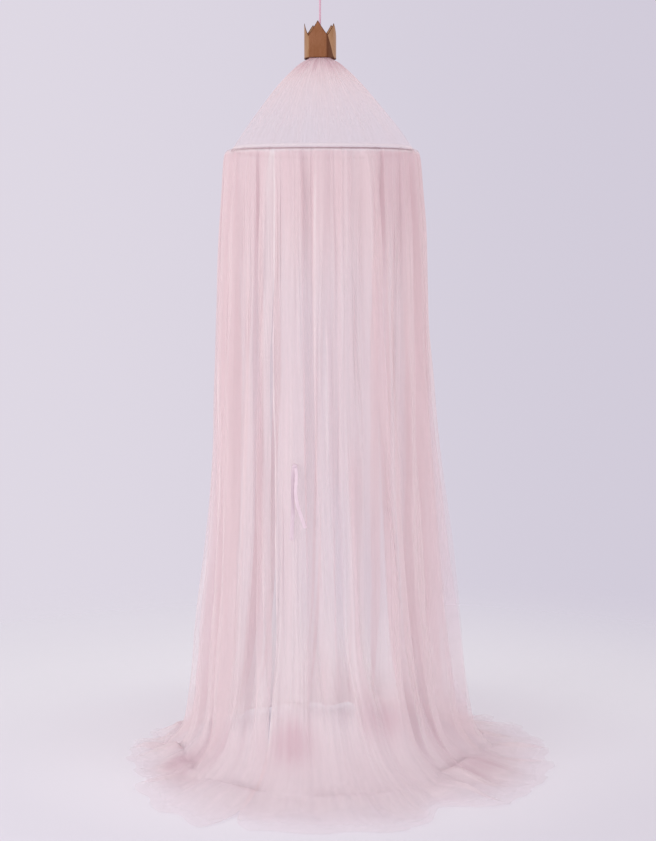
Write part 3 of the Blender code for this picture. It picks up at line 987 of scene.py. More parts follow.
def make_wall(heights):
    """The hanging net's points, a row for each height."""
    height = heights[:, None]
    row = {name: value[:, None] for name, value in read_table(SKIRT, "height", heights).items()}
    slit = {name: value[:, None] for name, value in read_table(SLIT, "height", heights).items()}
    down = HOOP_HEIGHT - height
    around = TURN * AROUND
    side = side_of(TURN, height, (row["left"] + row["right"]) / 2, slit["side"], slit["gap"])
    smoothed = 1 - APRON_CALM * below(height, APRON_SMOOTH) * apron(side)
    deep = between_corners(row["fold"] * CORNER_DEEP * uneven(CORNER_FOLD, height, WALL_LIVELY)) * smoothed
    share = between_corners(np.broadcast_to(np.minimum(1.0, CORNER_DEEP), (len(heights), len(CORNER_DEEP))))
    out = reach(side, row) + flare(side, height) * (1 - FURROW_HELD * share) - deep
    shift = between_corners(fold_lean(down / HOOP_HEIGHT)) * row["fold"] * smoothed

    calm = (1 - FLAT_CALM * flat_stretch(side, height)) * (1 - FOOT_CALM * below(height, FOOT_FLAT))
    near_hoop = np.interp(height, column_of(NEAR_HOOP, "height"), column_of(NEAR_HOOP, "size"))
    size = gather_size(down) * near_hoop * calm
    phase = gather_phase(down)
    out = out + FINE_OUT * size * (np.cos(phase) - 0.8)
    shift = shift + FINE_SIDE * size * np.sin(2 * phase)

    middling = below(height, MIDDLE_GROWN) * calm
    out = out + middling * (waves(MIDDLE_OUT, around, down) - 0.8 * MIDDLE_OUT.depth)
    shift = shift + middling * waves(MIDDLE_SIDE, around, down)

    crumpled = below(height, CRUMPLED)
    out = out + crumpled * waves(FOOT_OUT, around, down)
    shift = shift + crumpled * waves(FOOT_SIDE, around, down)
    up = crumpled * waves(FOOT_UP, around, down) - HOOP_BEND * np.cos(2 * side) * ease(1 - down / BEND_FADE)
    points = outward_of(side) * out[..., None] + tangent_of(side) * shift[..., None]
    points += UP * (z_of(height) + up)[..., None]
    return points, side


POOL_DOWN = 0.42  # the way from the foot to the hem in metres, for patterns that run on from the wall
POOL_FINE = (0.25, 0.18)  # the size of the fine folds on the floor, at the foot and further out
POOL_FINE_UP, POOL_FINE_SIDE = 0.0034, 0.0030


def make_pool(ways):
    """The points of the net on the floor, a row for each part of the way from its foot to the hem."""
    way = ways[:, None]
    foot = read_table(SKIRT, "height", np.array(SKIRT[-1].height))
    row = {name: value[:, None] for name, value in read_table(POOL, "way", ways).items()}
    slit = blend(SLIT[-1].side, SLIT_HEM_SIDE, way)
    gap = blend(SLIT[-1].gap, SLIT_HEM_GAP, way ** 5)
    side = side_of(TURN, 0.0, blend((foot["left"] + foot["right"]) / 2, HEM[0].reach, way), slit, gap)
    around, wide_around = TURN * AROUND, TURN * AROUND * POOL_SPREAD
    down = HOOP_HEIGHT - SKIRT[-1].height + POOL_DOWN * way
    factor = uneven(CORNER_FOLD, way, POOL_LIVELY)
    smoothed = 1 - APRON_CALM * apron(side) * below(way, POOL_SMOOTH)
    hump = above(way, HUMP_START) * below(way, HUMP_END)
    passed = above(way, FOOT_PASSED)
    size = blend(*POOL_FINE, passed) * gather_size(down)
    phase = gather_phase(down)

    share = np.minimum(1.0, CORNER_DEEP)
    high = between_corners(np.maximum(blend(row["ridge"] * factor, row["furrow"], share), row["furrow"]))
    high = blend((row["ridge"] + row["furrow"]) / 2, high, smoothed)
    high = high + POOL_FINE_UP * size * (np.cos(phase) + 0.6)
    high = high + hump * (0.1 * POOL_UP.depth + waves(POOL_UP, wide_around, down))
    high = high + passed * waves(POOL_RUMPLE, wide_around, down)

    shift = between_corners(fold_lean(1.0 + way)) * row["fold"] * smoothed
    shift = shift + POOL_FINE_SIDE * size * np.sin(2 * phase) + waves(FOOT_SIDE, around, down)

    deep = between_corners(row["fold"] * CORNER_DEEP * factor) * smoothed
    distance = blend(reach(side, foot) + flare(side, 0.0), hem_reach(np.degrees(side)), way) - deep
    distance = distance + hump * waves(POOL_OUT, wide_around, down)
    distance = distance + (1 - passed) * waves(FOOT_OUT, around, down)
    distance = distance + way ** 3 * waves(HEM_OUT, wide_around, 0.0)
    points = outward_of(side) * distance[..., None] + tangent_of(side) * shift[..., None]
    points += UP * z_of(np.maximum(high, 0.0025 + 0.002 * way))[..., None]
    return points, side


def band_gain(side, height):
    """How much denser or thinner the net hangs at a side and height."""
    gain = 1.0
    for row in BANDS:
        near = np.exp(-((around_from(side, row.side) / row.half) ** 2))
        gain = gain + row.gain * near * window(height, row.low, row.high, BAND_FADE)
    return np.maximum(gain, LEAST_GAIN)


def bunched_spots(points):
    """How much more the net stops where it is bunched up near the floor."""
    thick = 0.0
    for row in SPOTS:
        middle = (row.x, -row.front, z_of(row.height))
        gone = sum(((points[..., i] - at) / row.size) ** 2 for i, at in enumerate(middle))
        thick = thick + row.gain * np.exp(-gone)
    return thick


def skirt_cover(points, side, height, down, foot_row):
    """How much light each place stops, and how far it catches the light as a pale edge."""
    kinds = [streaks(kind, SKIRT_COLUMNS, down) for kind in (FINE, MIDDLE, BROAD)]
    way = np.clip((down - down[foot_row]) / (down[-1] - down[foot_row]), 0, 1)[:, None]
    hanging = above(height, HANGING)
    top = above(height, GATHERED)
    bunched = below(height, CRUMPLED) * (1 - 1.4 * above(way, BUNCH_END))
    thick = bunched_spots(points) * thread_share(SPOT_THREADS, *kinds)

    threads = blend(thread_share(WALL_THREADS, *kinds), thread_share(POOL_THREADS, *kinds),
                    below(height, FOOT_THREADS))
    cover = NET_COVER * threads * band_gain(side, height)
    cover = cover * (1 - FLAT_CALM * flat_stretch(side, height) * hanging)
    close = above(height, CLOSE_FOLDS)
    cover = cover * (1 + GATHERED_MORE * top + CLOSE_MORE * close + BUNCHED_MORE * bunched)
    cover = cover * (1 + thick) * (1 - HEM_FADE * above(way, THIN_HEM))

    pale = PALE_LOW * below(height, FLOOR_LIGHT) + APRON_PALE * apron(side) * window(height, 0.17, 0.42, 0.16)
    pale = (pale + HEM_PALE * above(way, PALE_HEM)) * (1 - SPOT_DULL * np.clip(thick, 0.0, 1.0))
    for row in CREASES:
        near = np.exp(-((around_from(side, row.side) / CREASE_HALF) ** 2))
        line = near * window(height, row.low, row.high, CREASE_FADE)
        cover = cover + row.cover * line * (1 - cover)
        pale = np.maximum(pale, line)
    gathers = top * np.maximum(0.0, np.sin(2 * pi * SEAM_GATHERS * TURN)) ** 4
    pale = np.maximum(pale, SEAM_PALE * gathers)
    edge = (np.minimum(TURN - TURN[0], TURN[-1] - TURN) * CLOTH_WIDTH < HEM_WIDTH) * hanging
    cover = np.maximum(cover, EDGE_COVER * edge)
    pale = np.maximum(pale, EDGE_PALE * edge)
    return cover * (1 - FIRST_ROW_FADE * above(height, FIRST_ROW)), pale


def way_down(points):
    """The mean way over the cloth from its first row to each row."""
    return np.concatenate([[0.0], np.cumsum(np.linalg.norm(np.diff(points, axis=0), axis=2).mean(axis=1))])


def make_skirt(finish):
    """The hanging net and the pool that it makes on the floor, in one sheet."""
    wall, wall_side = make_wall(WALL_HEIGHTS)
    pool, pool_side = make_pool(POOL_WAYS)
    points = np.concatenate([wall, pool])
    side = np.concatenate([wall_side, pool_side])
    down = way_down(points)
    uvs = np.stack(np.meshgrid(TURN * CLOTH_WIDTH, -down), axis=-1)
    height = np.concatenate([WALL_HEIGHTS, np.zeros(len(POOL_WAYS))])[:, None]
    cover, pale = skirt_cover(points, side, height, down, len(WALL_HEIGHTS))
    made = sheet_object("net_skirt", points, uvs, {"cover": cover, "pale": pale}, finish)
    return made, points, down[-1]


# ---------------------------------------------------------------- the roof

ROOF_GATHERS = 88
ROOF_COLUMNS = 8  # for each gather
ROOF_OVERS = np.concatenate([
    np.linspace(0.046, 0.0, 8), np.linspace(-0.006, -0.278, 33), [-0.2835, -0.2875, -0.2915]])
ROOF_TAUT = Fade(-0.2955, 0.28)
ROOF_FINE_OUT = (0.0003, 0.0012)  # how far the fine folds go out, at the hoop and under the crown
ROOF_COVER = 0.165
ROOF_CLOSE = 0.28  # the radius inside which the gathers close up, and how fast they get denser
ROOF_CLOSING = 1.45
SEAM_ROWS = Fade(-0.2840, 0.005)
SEAM_COVER, SEAM_ROW_PALE = 0.55, 0.9
HOOP_RADIUS = 0.2975
WRAP_RADIUS = 0.0034  # of the tunnel of net round the hoop
WRAP_ANGLES = np.radians(np.arange(90, -250, -34))


def roof_pleats(turn):
    """The broad pleats: the share of the turn that each place stands at, and its depth."""
    near = np.arange(2 * ROOF_PLEATS + 1)
    shift = PLEAT_SHIFT * np.sin(PLEAT_STEP * (near % (2 * ROOF_PLEATS)))
    dip = (1 - PLEAT_CHANGE * (1 + np.sin(PLEAT_STEP * near)) / 2) * (near % 2)
    place = turn * 2 * ROOF_PLEATS
    return np.interp(place, near, near + shift) / (2 * ROOF_PLEATS), np.interp(place, near, dip)


def roof_slope(turn, side, dip):
    """The roof's points from under the crown to the hoop: radial pleats that are gone at the hoop."""
    over = ROOF_OVERS[:, None]
    height = CROWN_HEIGHT + over
    row = {name: value[:, None] for name, value in read_table(ROOF, "over", ROOF_OVERS).items()}
    phase = 2 * pi * ROOF_GATHERS * turn + waves(ROOF_WANDER, turn * AROUND, -over)
    size = np.clip(0.6 + waves(ROOF_SIZE, turn * AROUND, -over), 0.1, 1.2)
    fine = blend(*ROOF_FINE_OUT, above(over, ROOF_TAUT)) * size * (np.cos(phase) - 0.6)
    points = outward_of(side) * (row["radius"] - row["pleat"] * dip + fine)[..., None]
    points[..., 0] += HOOP_X * ease((CROWN_HEIGHT - height) / (CROWN_HEIGHT - HOOP_HEIGHT))
    low = ease(1 - (height - HOOP_HEIGHT) / BEND_FADE)
    points += UP * (z_of(height) - HOOP_BEND * np.cos(2 * side) * low)[..., None]
    return points


def roof_tunnel(side):
    """The net's turn round the hoop."""
    angle = WRAP_ANGLES[:, None]
    side = side[None, :]
    points = outward_of(side) * (HOOP_RADIUS + WRAP_RADIUS * np.cos(angle) + 0 * side)[..., None]
    points[..., 0] += HOOP_X
    points += UP * (z_of(HOOP_HEIGHT + WRAP_RADIUS * np.sin(angle)) - HOOP_BEND * np.cos(2 * side))[..., None]
    return points


def roof_cover(side, down):
    """How much light the roof and its tunnel stop, and how pale they are: a painted highlight on the seam
    rows, and painted light on the tunnel.
    """
    rows = len(ROOF_OVERS)
    fine, broad = streaks(ROOF_FINE, len(side), down), streaks(ROOF_BROAD, len(side), down)
    radius = read_table(ROOF, "over", ROOF_OVERS)["radius"]
    close = np.concatenate([ROOF_CLOSE / radius, np.ones(len(WRAP_ANGLES))]) ** ROOF_CLOSING
    threads = thread_share(ROOF_THREADS, fine=fine, broad=broad)
    cover = ROOF_COVER * threads * np.clip(close, 0.8, 6.0)[:, None]
    faces = (np.degrees(side) + 180) % 360 - 180
    tunnel = np.interp(faces, column_of(TUNNEL, "side"), column_of(TUNNEL, "cover"))
    cover[rows:] = tunnel * (0.8 + 0.4 * fine[rows:])
    seam = np.zeros_like(cover)
    seam[:rows] = below(ROOF_OVERS, SEAM_ROWS)[:, None]
    pale = SEAM_ROW_PALE * seam
    pale[rows:] = np.clip(tunnel - 0.4, 0.0, 0.9)
    return np.maximum(cover, SEAM_COVER * seam), pale


def make_roof(finish):
    """The roof with its tunnel, in one sheet."""
    columns = ROOF_GATHERS * ROOF_COLUMNS
    turn = np.arange(columns) / columns
    share, dip = roof_pleats(turn)
    side = 2 * pi * share
    points = np.concatenate([roof_slope(turn, side, dip), roof_tunnel(side)])
    down = way_down(points)
    uvs = np.stack(np.meshgrid(turn * CLOTH_WIDTH, -down), axis=-1)
    cover, pale = roof_cover(side, down)
    made = sheet_object("net_roof", points, uvs, {"cover": cover, "pale": pale}, finish, around=True)
    return made, down[-1]


# ---------------------------------------------------------------- hoop, crown, cord and ribbon


def tree_object(name, group, values, source=None):
    """A plain mesh from a geometry tree, whose inputs are given by name."""
    data = source or bpy.data.meshes.new(name + "_start")
    start = bpy.data.objects.new(name + "_start", data)
    bpy.context.scene.collection.objects.link(start)
    grow = start.modifiers.new("grow", "NODES")
    grow.node_group = group
    for item in group.interface.items_tree:
        if item.item_type == "SOCKET" and item.in_out == "INPUT" and item.name in values:
            grow[item.identifier] = values[item.name]
    bpy.context.view_layer.update()
    evaluated = start.evaluated_get(bpy.context.evaluated_depsgraph_get())
    mesh = bpy.data.meshes.new_from_object(evaluated)
    mesh.name = name
    start.modifiers.clear()
    bpy.data.objects.remove(start)
    made = bpy.data.objects.new(name, mesh)
    bpy.context.scene.collection.objects.link(made)
    return made


def geometry_tree(name, inputs):
    """An empty geometry tree with named inputs, and their wires."""
    group = bpy.data.node_groups.new(name, "GeometryNodeTree")
    for label, kind, default in inputs:
        socket = group.interface.new_socket(label, in_out="INPUT", socket_type="NodeSocket" + kind)
        if default is not None:
            socket.default_value = default
    group.interface.new_socket("Geometry", in_out="OUTPUT", socket_type="NodeSocketGeometry")
    tree = Tree(group)
    start = group.nodes.new("NodeGroupInput")
    return tree, {label: Wire(tree, start.outputs[label]) for label, _, _ in inputs}


def close_tree(tree, geometry, finish):
    """Ends a tree: what it grew made real, with its finish."""
    real = tree.add("GeometryNodeRealizeInstances", {}, {0: geometry})
    real = tree.add("GeometryNodeSetMaterial", {}, {"Geometry": real, "Material": finish})
    end = tree.group.nodes.new("NodeGroupOutput")
    tree.group.links.new(real.socket, end.inputs["Geometry"])
    return tree.group


RING_POINTS = 240
WIRE_POINTS = 14


def circle_curve(tree, count, radius):
    return tree.add("GeometryNodeCurvePrimitiveCircle", {}, {"Resolution": count, "Radius": radius})


def hoop_path(tree, given, count, turn=0.0):
    """The hoop's middle line: a circle bent a little like a saddle, with a point for each step round it."""
    ring = circle_curve(tree, count, given["Radius"])
    turned = tree.add("ShaderNodeCombineXYZ", {}, {2: turn})
    ring = tree.add("GeometryNodeTransform", {}, {"Geometry": ring, "Rotation": turned})
    x, y, _ = tree.split(tree.add("GeometryNodeInputPosition", {}, {}))
    bend = (x * x - y * y) / (given["Radius"] * given["Radius"]) * given["Bend"]
    moved = tree.add("ShaderNodeCombineXYZ", {}, {0: x + given["Shift"], 1: y, 2: bend + given["Height"]})
    return tree.add("GeometryNodeSetPosition", {}, {"Geometry": ring, "Position": moved})


HOOP_INPUTS = [
    ("Radius", "Float", 0.3), ("Wire", "Float", 0.005), ("Bend", "Float", 0.003),
    ("Shift", "Float", 0.0), ("Height", "Float", 0.0), ("Finish", "Material", None)]


def hoop_tree():
    """The hoop as a tube along its line."""
    tree, given = geometry_tree("bent_ring", HOOP_INPUTS)
    ring = hoop_path(tree, given, RING_POINTS)
    wire = circle_curve(tree, WIRE_POINTS, given["Wire"] / 2)
    tube = tree.add("GeometryNodeCurveToMesh", {}, {"Curve": ring, "Profile Curve": wire})
    tube = tree.add("GeometryNodeSetShadeSmooth", {}, {"Geometry": tube})
    return close_tree(tree, tube, given["Finish"])


STITCH_SIZES = (0.8, 1.15)
TACK_SIZE = 0.85  # the radius of a tack's loop, in shares of the hoop's wire
TACK_TALL, TACK_SLANT = 1.25, 0.25  # and its height and slant, in shares of that
TACK_THREAD = 0.0005
THREAD_SIDES = 5


def stitches_tree():
    """Short stitches of thread along a path, each a little different in length."""
    tree, given = geometry_tree("stitches", [
        ("Geometry", "Geometry", None), ("Pitch", "Float", 0.005), ("Length", "Float", 0.0034),
        ("Thread", "Float", 0.0005), ("Seed", "Int", 5), ("Finish", "Material", None)])
    points = tree.add("GeometryNodeCurveToPoints", {"mode": "LENGTH"},
                      {"Curve": given["Geometry"], "Length": given["Pitch"]})
    turned = Wire(tree, points.socket.node.outputs["Rotation"])
    stitch = tree.add("GeometryNodeMeshUVSphere", {}, {"Segments": THREAD_SIDES, "Rings": 4, "Radius": 0.5})
    size = tree.add("ShaderNodeCombineXYZ", {}, {0: given["Thread"], 1: given["Thread"], 2: given["Length"]})
    stitch = tree.add("GeometryNodeTransform", {}, {"Geometry": stitch, "Scale": size})
    least, most = STITCH_SIZES
    vary = tree.add("FunctionNodeRandomValue", {"data_type": "FLOAT"},
                    {2: least, 3: most, "Seed": given["Seed"]}, out=1)
    row = tree.add("GeometryNodeInstanceOnPoints", {},
                   {"Points": points, "Instance": stitch, "Rotation": turned, "Scale": vary})
    return close_tree(tree, row, given["Finish"])


def tacks_tree():
    """Loops of thread at even steps round the hoop, which tie the net to it."""
    tree, given = geometry_tree("tacks", HOOP_INPUTS + [("Count", "Int", 16), ("Turn", "Float", 0.0)])
    line = hoop_path(tree, given, given["Count"], given["Turn"])
    points = tree.add("GeometryNodeCurveToPoints", {"mode": "EVALUATED"}, {"Curve": line})
    turned = Wire(tree, points.socket.node.outputs["Rotation"])
    loop = circle_curve(tree, WIRE_POINTS, given["Wire"] * TACK_SIZE)
    x, y, _ = tree.split(tree.add("GeometryNodeInputPosition", {}, {}))
    tall = tree.add("ShaderNodeCombineXYZ", {}, {0: x, 1: y * TACK_TALL, 2: x * TACK_SLANT})
    loop = tree.add("GeometryNodeSetPosition", {}, {"Geometry": loop, "Position": tall})
    thread = circle_curve(tree, THREAD_SIDES, TACK_THREAD)
    loop = tree.add("GeometryNodeCurveToMesh", {}, {"Curve": loop, "Profile Curve": thread})
    row = tree.add("GeometryNodeInstanceOnPoints", {},
                   {"Points": points, "Instance": loop, "Rotation": turned})
    return close_tree(tree, row, given["Finish"])


def hoop_values(finish):
    low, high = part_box("hoop")
    wire = high.z - low.z - 2 * HOOP_BEND
    return {"Radius": (high.y - low.y - wire) / 2, "Wire": wire, "Bend": HOOP_BEND,
            "Shift": (low.x + high.x) / 2, "Height": (low.z + high.z) / 2, "Finish": finish}


def make_hoop(finish):
    return tree_object("hoop_ring", hoop_tree(), hoop_values(finish))


TACK_TURN = radians(11.25)  # from the front to the first tack
TACKS = 16
SEAM_OVER = 0.0060  # the line of stitches over the hoop's middle, and out from it
SEAM_OUT = 0.0015
SEAM_PITCH, EDGE_PITCH = 0.005, 0.0065
EDGE_COLUMN = 3  # from the opening's edge in, over the middle of its hem


def make_tacks(finish):
    return tree_object("hoop_tacks", tacks_tree(), {**hoop_values(finish), "Count": TACKS, "Turn": TACK_TURN})


def ring_line(name, radius, height):
    """A closed line beside the hoop, bent as it is."""
    points = []
    for i in range(RING_POINTS):
        side = 2 * pi * i / RING_POINTS
        points.append(Vector((HOOP_X + radius * sin(side), -radius * cos(side),
                              z_of(height) - HOOP_BEND * cos(2 * side))))
    return path_curve(name, points, closed=True)


def edge_line(name, points, column):
    """A line down one edge of the opening, over the middle of its hem."""
    inner = EDGE_COLUMN if column == 0 else -1 - EDGE_COLUMN
    return path_curve(name, [Vector(p) for p in points[::2, inner]])


def make_stitches(name, curve, finish, pitch=SEAM_PITCH):
    return tree_object(name, stitches_tree(), {"Pitch": pitch, "Finish": finish}, curve)


# The crown's petals, from the front round to the right: the height of the point over the lower edge,
# and how round the petal is, from 0, flat between its edges, to 1, part of a round band.
PETALS = table(
    "point bulge",
    (0.119, 0.25),
    (0.112, 0.70),
    (0.115, 0.85),
    (0.115, 0.85),
    (0.113, 0.80),
)
CROWN_RADIUS = 0.0535
CROWN_SHOULDER = 0.072
METAL = 0.0012
TONGUE = 0.42  # the lapped end's length, in petals
TONGUE_BUILT = 0.985  # the share of it that is built, short of its sharp tip
TONGUE_TIP = 0.0062  # its height there
LAP_GAP = 0.0006  # between the lapped end and what it lies on
LAP_DARK = 0.70  # how far the lapped end is darkened by painted shade, from 0 to 1
# Petals past the joint, over which the end rises, is darkened by painted shade, and is dark at its tip.
LAP_RISE, LAP_SHADE, TIP_DARK = Fade(-0.35, 0.5), Fade(-0.15, 0.15), Fade(TONGUE * 0.80, TONGUE * 0.18)
CROWN_STEPS, LAP_STEPS, RISE_STEPS = 16, 8, 8  # along a petal, along the lapped end, and up the strip
RIMS = (0.0, 0.0022, 0.0052)  # the rows of points in from a cut edge, which is dark
CROWN_BEVEL = 0.0003


def ring_place(side, distance, height):
    return Vector((distance * sin(side), -distance * cos(side), z_of(height)))


def crown_outline(place):
    """The strip's upper edge over its lower one, at a place counted in petals from the joint."""
    if place >= CROWN_SIDES:
        return CROWN_SHOULDER * max(0.0, 1 - (place - CROWN_SIDES) / TONGUE)
    petal = PETALS[(int(place) + 1) % CROWN_SIDES]
    return blend(CROWN_SHOULDER, petal.point, 1 - abs(2 * (place % 1) - 1))


def crown_point(place, over):
    """A point of the rolled strip, which bulges from corner to corner and laps over its own start."""
    half = pi / CROWN_SIDES
    side = CROWN_TURN + half * (1 + 2 * place)
    from_middle = half * (2 * (place % 1) - 1)
    flat = CROWN_RADIUS * cos(half) / cos(from_middle)
    lapped = float(above(place - CROWN_SIDES, LAP_RISE))
    bulge = PETALS[(int(place) + 1) % CROWN_SIDES].bulge
    distance = blend(flat, CROWN_RADIUS, bulge) + lapped * (METAL + LAP_GAP)
    return ring_place(side, distance, CROWN_HEIGHT + over)


def make_crown(finish):
    """One strip rolled round, with five points, its end lapped over its start in a slanted tongue."""
    places = [i / CROWN_STEPS for i in range(CROWN_SIDES * CROWN_STEPS)]
    places += [CROWN_SIDES + TONGUE * TONGUE_BUILT * i / LAP_STEPS for i in range(LAP_STEPS + 1)]
    points, rim_and_lap_shade = [], []
    for place in places:
        top = max(crown_outline(place), TONGUE_TIP)
        past = place - CROWN_SIDES
        inside = [RIMS[2] + (top - 2 * RIMS[2]) * i / RISE_STEPS for i in range(RISE_STEPS + 1)]
        heights = [*RIMS[:2], *inside, top - RIMS[1], top]
        # painted shade: the lapped end darkens towards the edge colour, wholly at its tip
        end = float(max(above(past, TIP_DARK), LAP_DARK * above(past, LAP_SHADE)))
        points.append([crown_point(place, over) for over in heights])
        rim_and_lap_shade.append([max(end, float(np.clip(1 - min(over, top - over) / RIMS[2], 0, 1))) for over in heights])
    points, rim_and_lap_shade = np.array(points), np.array(rim_and_lap_shade)
    made = mesh_object("crown_strip", points.reshape(-1, 3), grid_faces(*points.shape[:2]))
    add_attribute(made.data, "rim_and_lap_shade", rim_and_lap_shade)
    made.data.materials.append(finish)
    shell = made.modifiers.new("metal", "SOLIDIFY")
    shell.thickness = METAL
    shell.offset = -1.0
    soft = made.modifiers.new("edges", "BEVEL")
    soft.width = CROWN_BEVEL
    soft.segments = 2
    soft.limit_method = "ANGLE"
    soft.angle_limit = radians(50)
    return made


STRANDS = 3
STRAND_RELIEF = 0.24
CLOVER_POINTS = 18


def cord_tree():
    """Three strands laid together along a path: a clover-shaped tube that turns as it goes."""
    tree, given = geometry_tree("laid_cord", [
        ("Geometry", "Geometry", None), ("Diameter", "Float", CORD_DIAMETER), ("Step", "Float", 0.0012),
        ("Twist", "Float", 260.0), ("Finish", "Material", None)])
    line = tree.add("GeometryNodeResampleCurve", {"mode": "LENGTH"},
                    {"Curve": given["Geometry"], "Length": given["Step"]})
    gone = tree.add("GeometryNodeSplineParameter", {}, {}, out=1)
    line = tree.add("GeometryNodeSetCurveTilt", {}, {"Curve": line, "Tilt": gone * given["Twist"]})
    clover = circle_curve(tree, CLOVER_POINTS, 1.0)
    x, y, _ = tree.split(tree.add("GeometryNodeInputPosition", {}, {}))
    angle = y.math("ARCTAN2", x)
    lobes = (angle * (STRANDS / 2)).sine().size() ** 0.6 * STRAND_RELIEF + (1 - STRAND_RELIEF)
    shaped = tree.add("ShaderNodeCombineXYZ", {}, {
        0: x * lobes * given["Diameter"] / 2, 1: y * lobes * given["Diameter"] / 2})
    clover = tree.add("GeometryNodeSetPosition", {}, {"Geometry": clover, "Position": shaped})
    rope = tree.add("GeometryNodeCurveToMesh", {},
                    {"Curve": line, "Profile Curve": clover, "Fill Caps": True})
    rope = tree.add("GeometryNodeSetShadeSmooth", {}, {"Geometry": rope})
    return close_tree(tree, rope, given["Finish"])


def path_curve(name, points, closed=False):
    data = bpy.data.curves.new(name, "CURVE")
    data.dimensions = "3D"
    spline = data.splines.new("POLY")
    spline.points.add(len(points) - 1)
    for point, at in zip(spline.points, points):
        point.co = (*at, 1.0)
    spline.use_cyclic_u = closed
    return data


CORD_STEPS = 24
KNOT_TURNS, KNOT_STEPS = 3, 96
KNOT_WIDE, KNOT_DEEP, KNOT_TALL = 0.0068, 0.0058, 0.0175
LOOP_WIDTH = 0.030
LOOP_LOW, LOOP_HIGH = 0.45, 1.30  # shares of that, over the knot and at its top
LOOP_POINTS = 60
LOOP_SUNK = 0.004  # how deep its foot is drawn into the knot


def make_cord_pieces(finish):
    """The hanging cord, the turns of its knot, and its loop, all of the same laid cord."""
    group = cord_tree()
    low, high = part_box("cord")
    knot_low, knot_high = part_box("cord_knot")
    values = {"Diameter": CORD_DIAMETER, "Finish": finish}
    path = [Vector((0, 0, low.z + (high.z - low.z) * i / CORD_STEPS)) for i in range(CORD_STEPS + 1)]
    cord = tree_object("hanging_cord", group, values, path_curve("cord_path", path))
    middle = (knot_low.z + knot_high.z) / 2
    turns = []
    for i in range(KNOT_STEPS + 1):
        share = i / KNOT_STEPS
        angle = 2 * pi * KNOT_TURNS * share
        rise = (share - 0.5) * KNOT_TALL
        turns.append(Vector((KNOT_WIDE * cos(angle), KNOT_DEEP * sin(angle), middle + rise)))
    knot = tree_object("cord_knot_turns", group, values, path_curve("knot_path", turns))
    bottom = knot_high.z - LOOP_SUNK
    loop_points = []
    for i in range(LOOP_POINTS):
        turn = 2 * pi * i / LOOP_POINTS
        up = (1 - cos(turn)) / 2
        wide = LOOP_WIDTH / 2 * sin(turn) * blend(LOOP_LOW, LOOP_HIGH, up)
        loop_points.append(Vector((wide, 0, bottom + (CORD_DIAMETER / 2 - bottom) * up)))
    loop = tree_object("cord_loop", group, values, path_curve("loop_path", loop_points, closed=True))
    return cord, knot, loop, path


def front_of_skirt(x, height):
    row = {name: float(value) for name, value in read_table(SKIRT, "height", height).items()}
    side = np.array(atan2(x, row["front"]))
    return float((reach(side, row) + flare(side, height)) * np.cos(side))


TAIL_STEPS, TAIL_COLUMNS = 40, 7
TAIL_CUP = 0.0008  # how far the ribbon's middle stands in front of its edges


def make_tail(name, rows, finish):
    """One free end of the ribbon: a thin strip that turns a little as it hangs."""
    heights = np.linspace(rows[0].height, rows[-1].height, TAIL_STEPS)
    read = read_table(rows, "height", heights)
    forward = np.array([front_of_skirt(x, height) for x, height in zip(read["x"], heights)])
    middle = np.stack([read["x"], -(forward + TIE_OFF + read["off"]), z_of(heights)], axis=-1)
    turn = np.radians(read["turn"])
    flat = np.stack([np.cos(turn), np.sin(turn), 0 * turn], axis=-1)
    through = np.stack([-np.sin(turn), np.cos(turn), 0 * turn], axis=-1)
    share = np.linspace(-0.5, 0.5, TAIL_COLUMNS)[None, :, None]
    cup = TAIL_CUP * (1 - (2 * share) ** 2)
    points = middle[:, None] + flat[:, None] * share * RIBBON_WIDTH - through[:, None] * cup
    gone = way_down(middle[:, None])
    uvs = np.stack(np.meshgrid((share.ravel() + 0.5) * RIBBON_WIDTH, -gone), axis=-1)
    made = sheet_object(name, points, uvs, {"cover": 1.0}, finish)
    return made, gone[-1]


KNOT_ROWS, KNOT_COLUMNS = 25, 64
KNOT_WRAPS = 1.35  # how many times the ribbon goes round
KNOT_HALF_WIDTH, KNOT_OUT, KNOT_UP = 0.0078, 0.0052, 0.0064
KNOT_ROUND = 0.86  # how far the ends of the knot are drawn in
KNOT_LAID = 0.006  # metres of ribbon for each radian of wrap


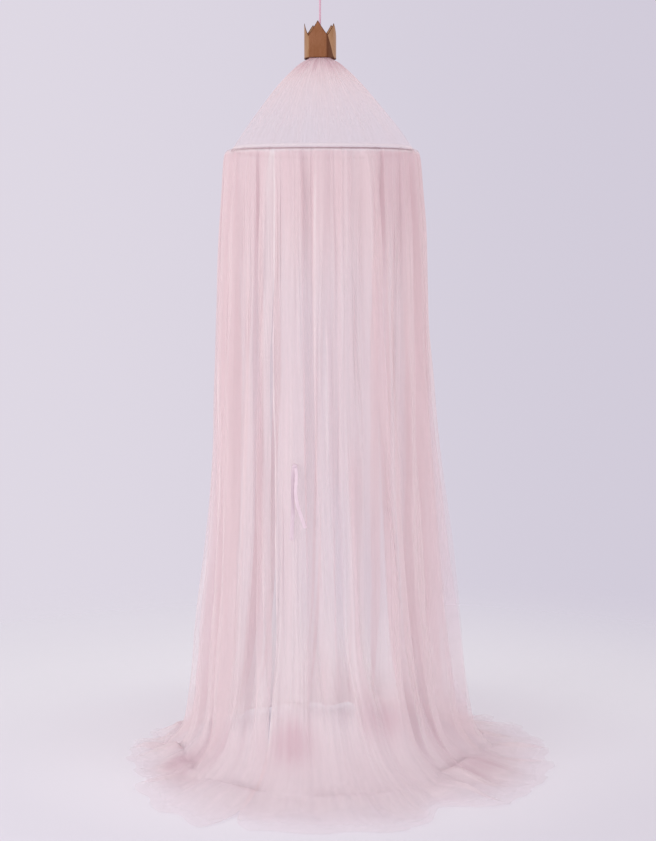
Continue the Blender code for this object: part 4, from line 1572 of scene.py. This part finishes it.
def make_tie_knot(finish):
    """The knot: the ribbon's turn, pinched and wrapped tight over the two ends."""
    off = front_of_skirt(TIE_X, TIE_HEIGHT) + TIE_OFF
    across = np.linspace(-1, 1, KNOT_ROWS)[:, None]
    angle = np.linspace(0, 2 * pi * KNOT_WRAPS, KNOT_COLUMNS)[None, :]
    loose = 1 + 0.10 * angle / (2 * pi)
    pleats = 0.06 * np.cos(3.2 * pi * across + 1.5 * np.sin(angle)) + 0.05 * np.sin(3 * angle + 2 * across)
    size = np.sqrt(np.maximum(0.0, 1 - (KNOT_ROUND * across) ** 2)) * (1 + pleats) * loose
    x = TIE_X + KNOT_HALF_WIDTH * across + 0.0012 * np.sin(angle)
    y = -off - KNOT_OUT * size * np.cos(angle)
    z = z_of(TIE_HEIGHT) + KNOT_UP * size * np.sin(angle)
    points = np.stack(np.broadcast_arrays(x, y, z), axis=-1)
    uvs = np.stack(np.broadcast_arrays((across + 1) / 2 * RIBBON_WIDTH, angle * KNOT_LAID), axis=-1)
    return sheet_object("tie_knot", points, uvs, {"cover": 1.0}, finish)


# ---------------------------------------------------------------- put together


def place_piece(piece, node=None):
    """Every piece rides on the one body, and the imported part that it stands for, if any, is hidden."""
    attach(piece, BODY)
    if node:
        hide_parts(node)


def main():
    make_camera()
    make_stage()
    cord, knot, loop, path = make_cord_pieces(cord_finish())
    place_piece(cord, "cord")
    place_piece(knot, "cord_knot")
    place_piece(loop, "hanging_loop")

    net = net_finish("sheer_net")
    skirt, points, drop = make_skirt(net)
    roof, slope = make_roof(net)
    hoop = make_hoop(hoop_finish())
    place_piece(skirt, "skirt")
    place_piece(roof, "roof")
    place_piece(hoop, "hoop")

    dusky = thread_finish("dusky_thread", DUSKY_THREAD)
    pale = thread_finish("pale_thread", PALE_THREAD)
    tacks = make_tacks(dusky)
    place_piece(tacks)
    line = ring_line("seam_line", HOOP_RADIUS + SEAM_OUT, HOOP_HEIGHT + SEAM_OVER)
    seam = make_stitches("hoop_seam", line, pale)
    place_piece(seam)
    edges = []
    for name, column in (("left", 0), ("right", -1)):
        line = edge_line("edge_line_" + name, points, column)
        edges.append(make_stitches("opening_stitches_" + name, line, pale, EDGE_PITCH))
        place_piece(edges[-1])

    place_piece(make_crown(gold_finish()), "crown")
    satin = ribbon_finish()
    tie = make_tie_knot(satin)
    place_piece(tie, "ribbon_tie")
    for side, rows in TAILS.items():
        tail, length = make_tail("tie_tail_" + side, rows, satin)
        place_piece(tail)


main()
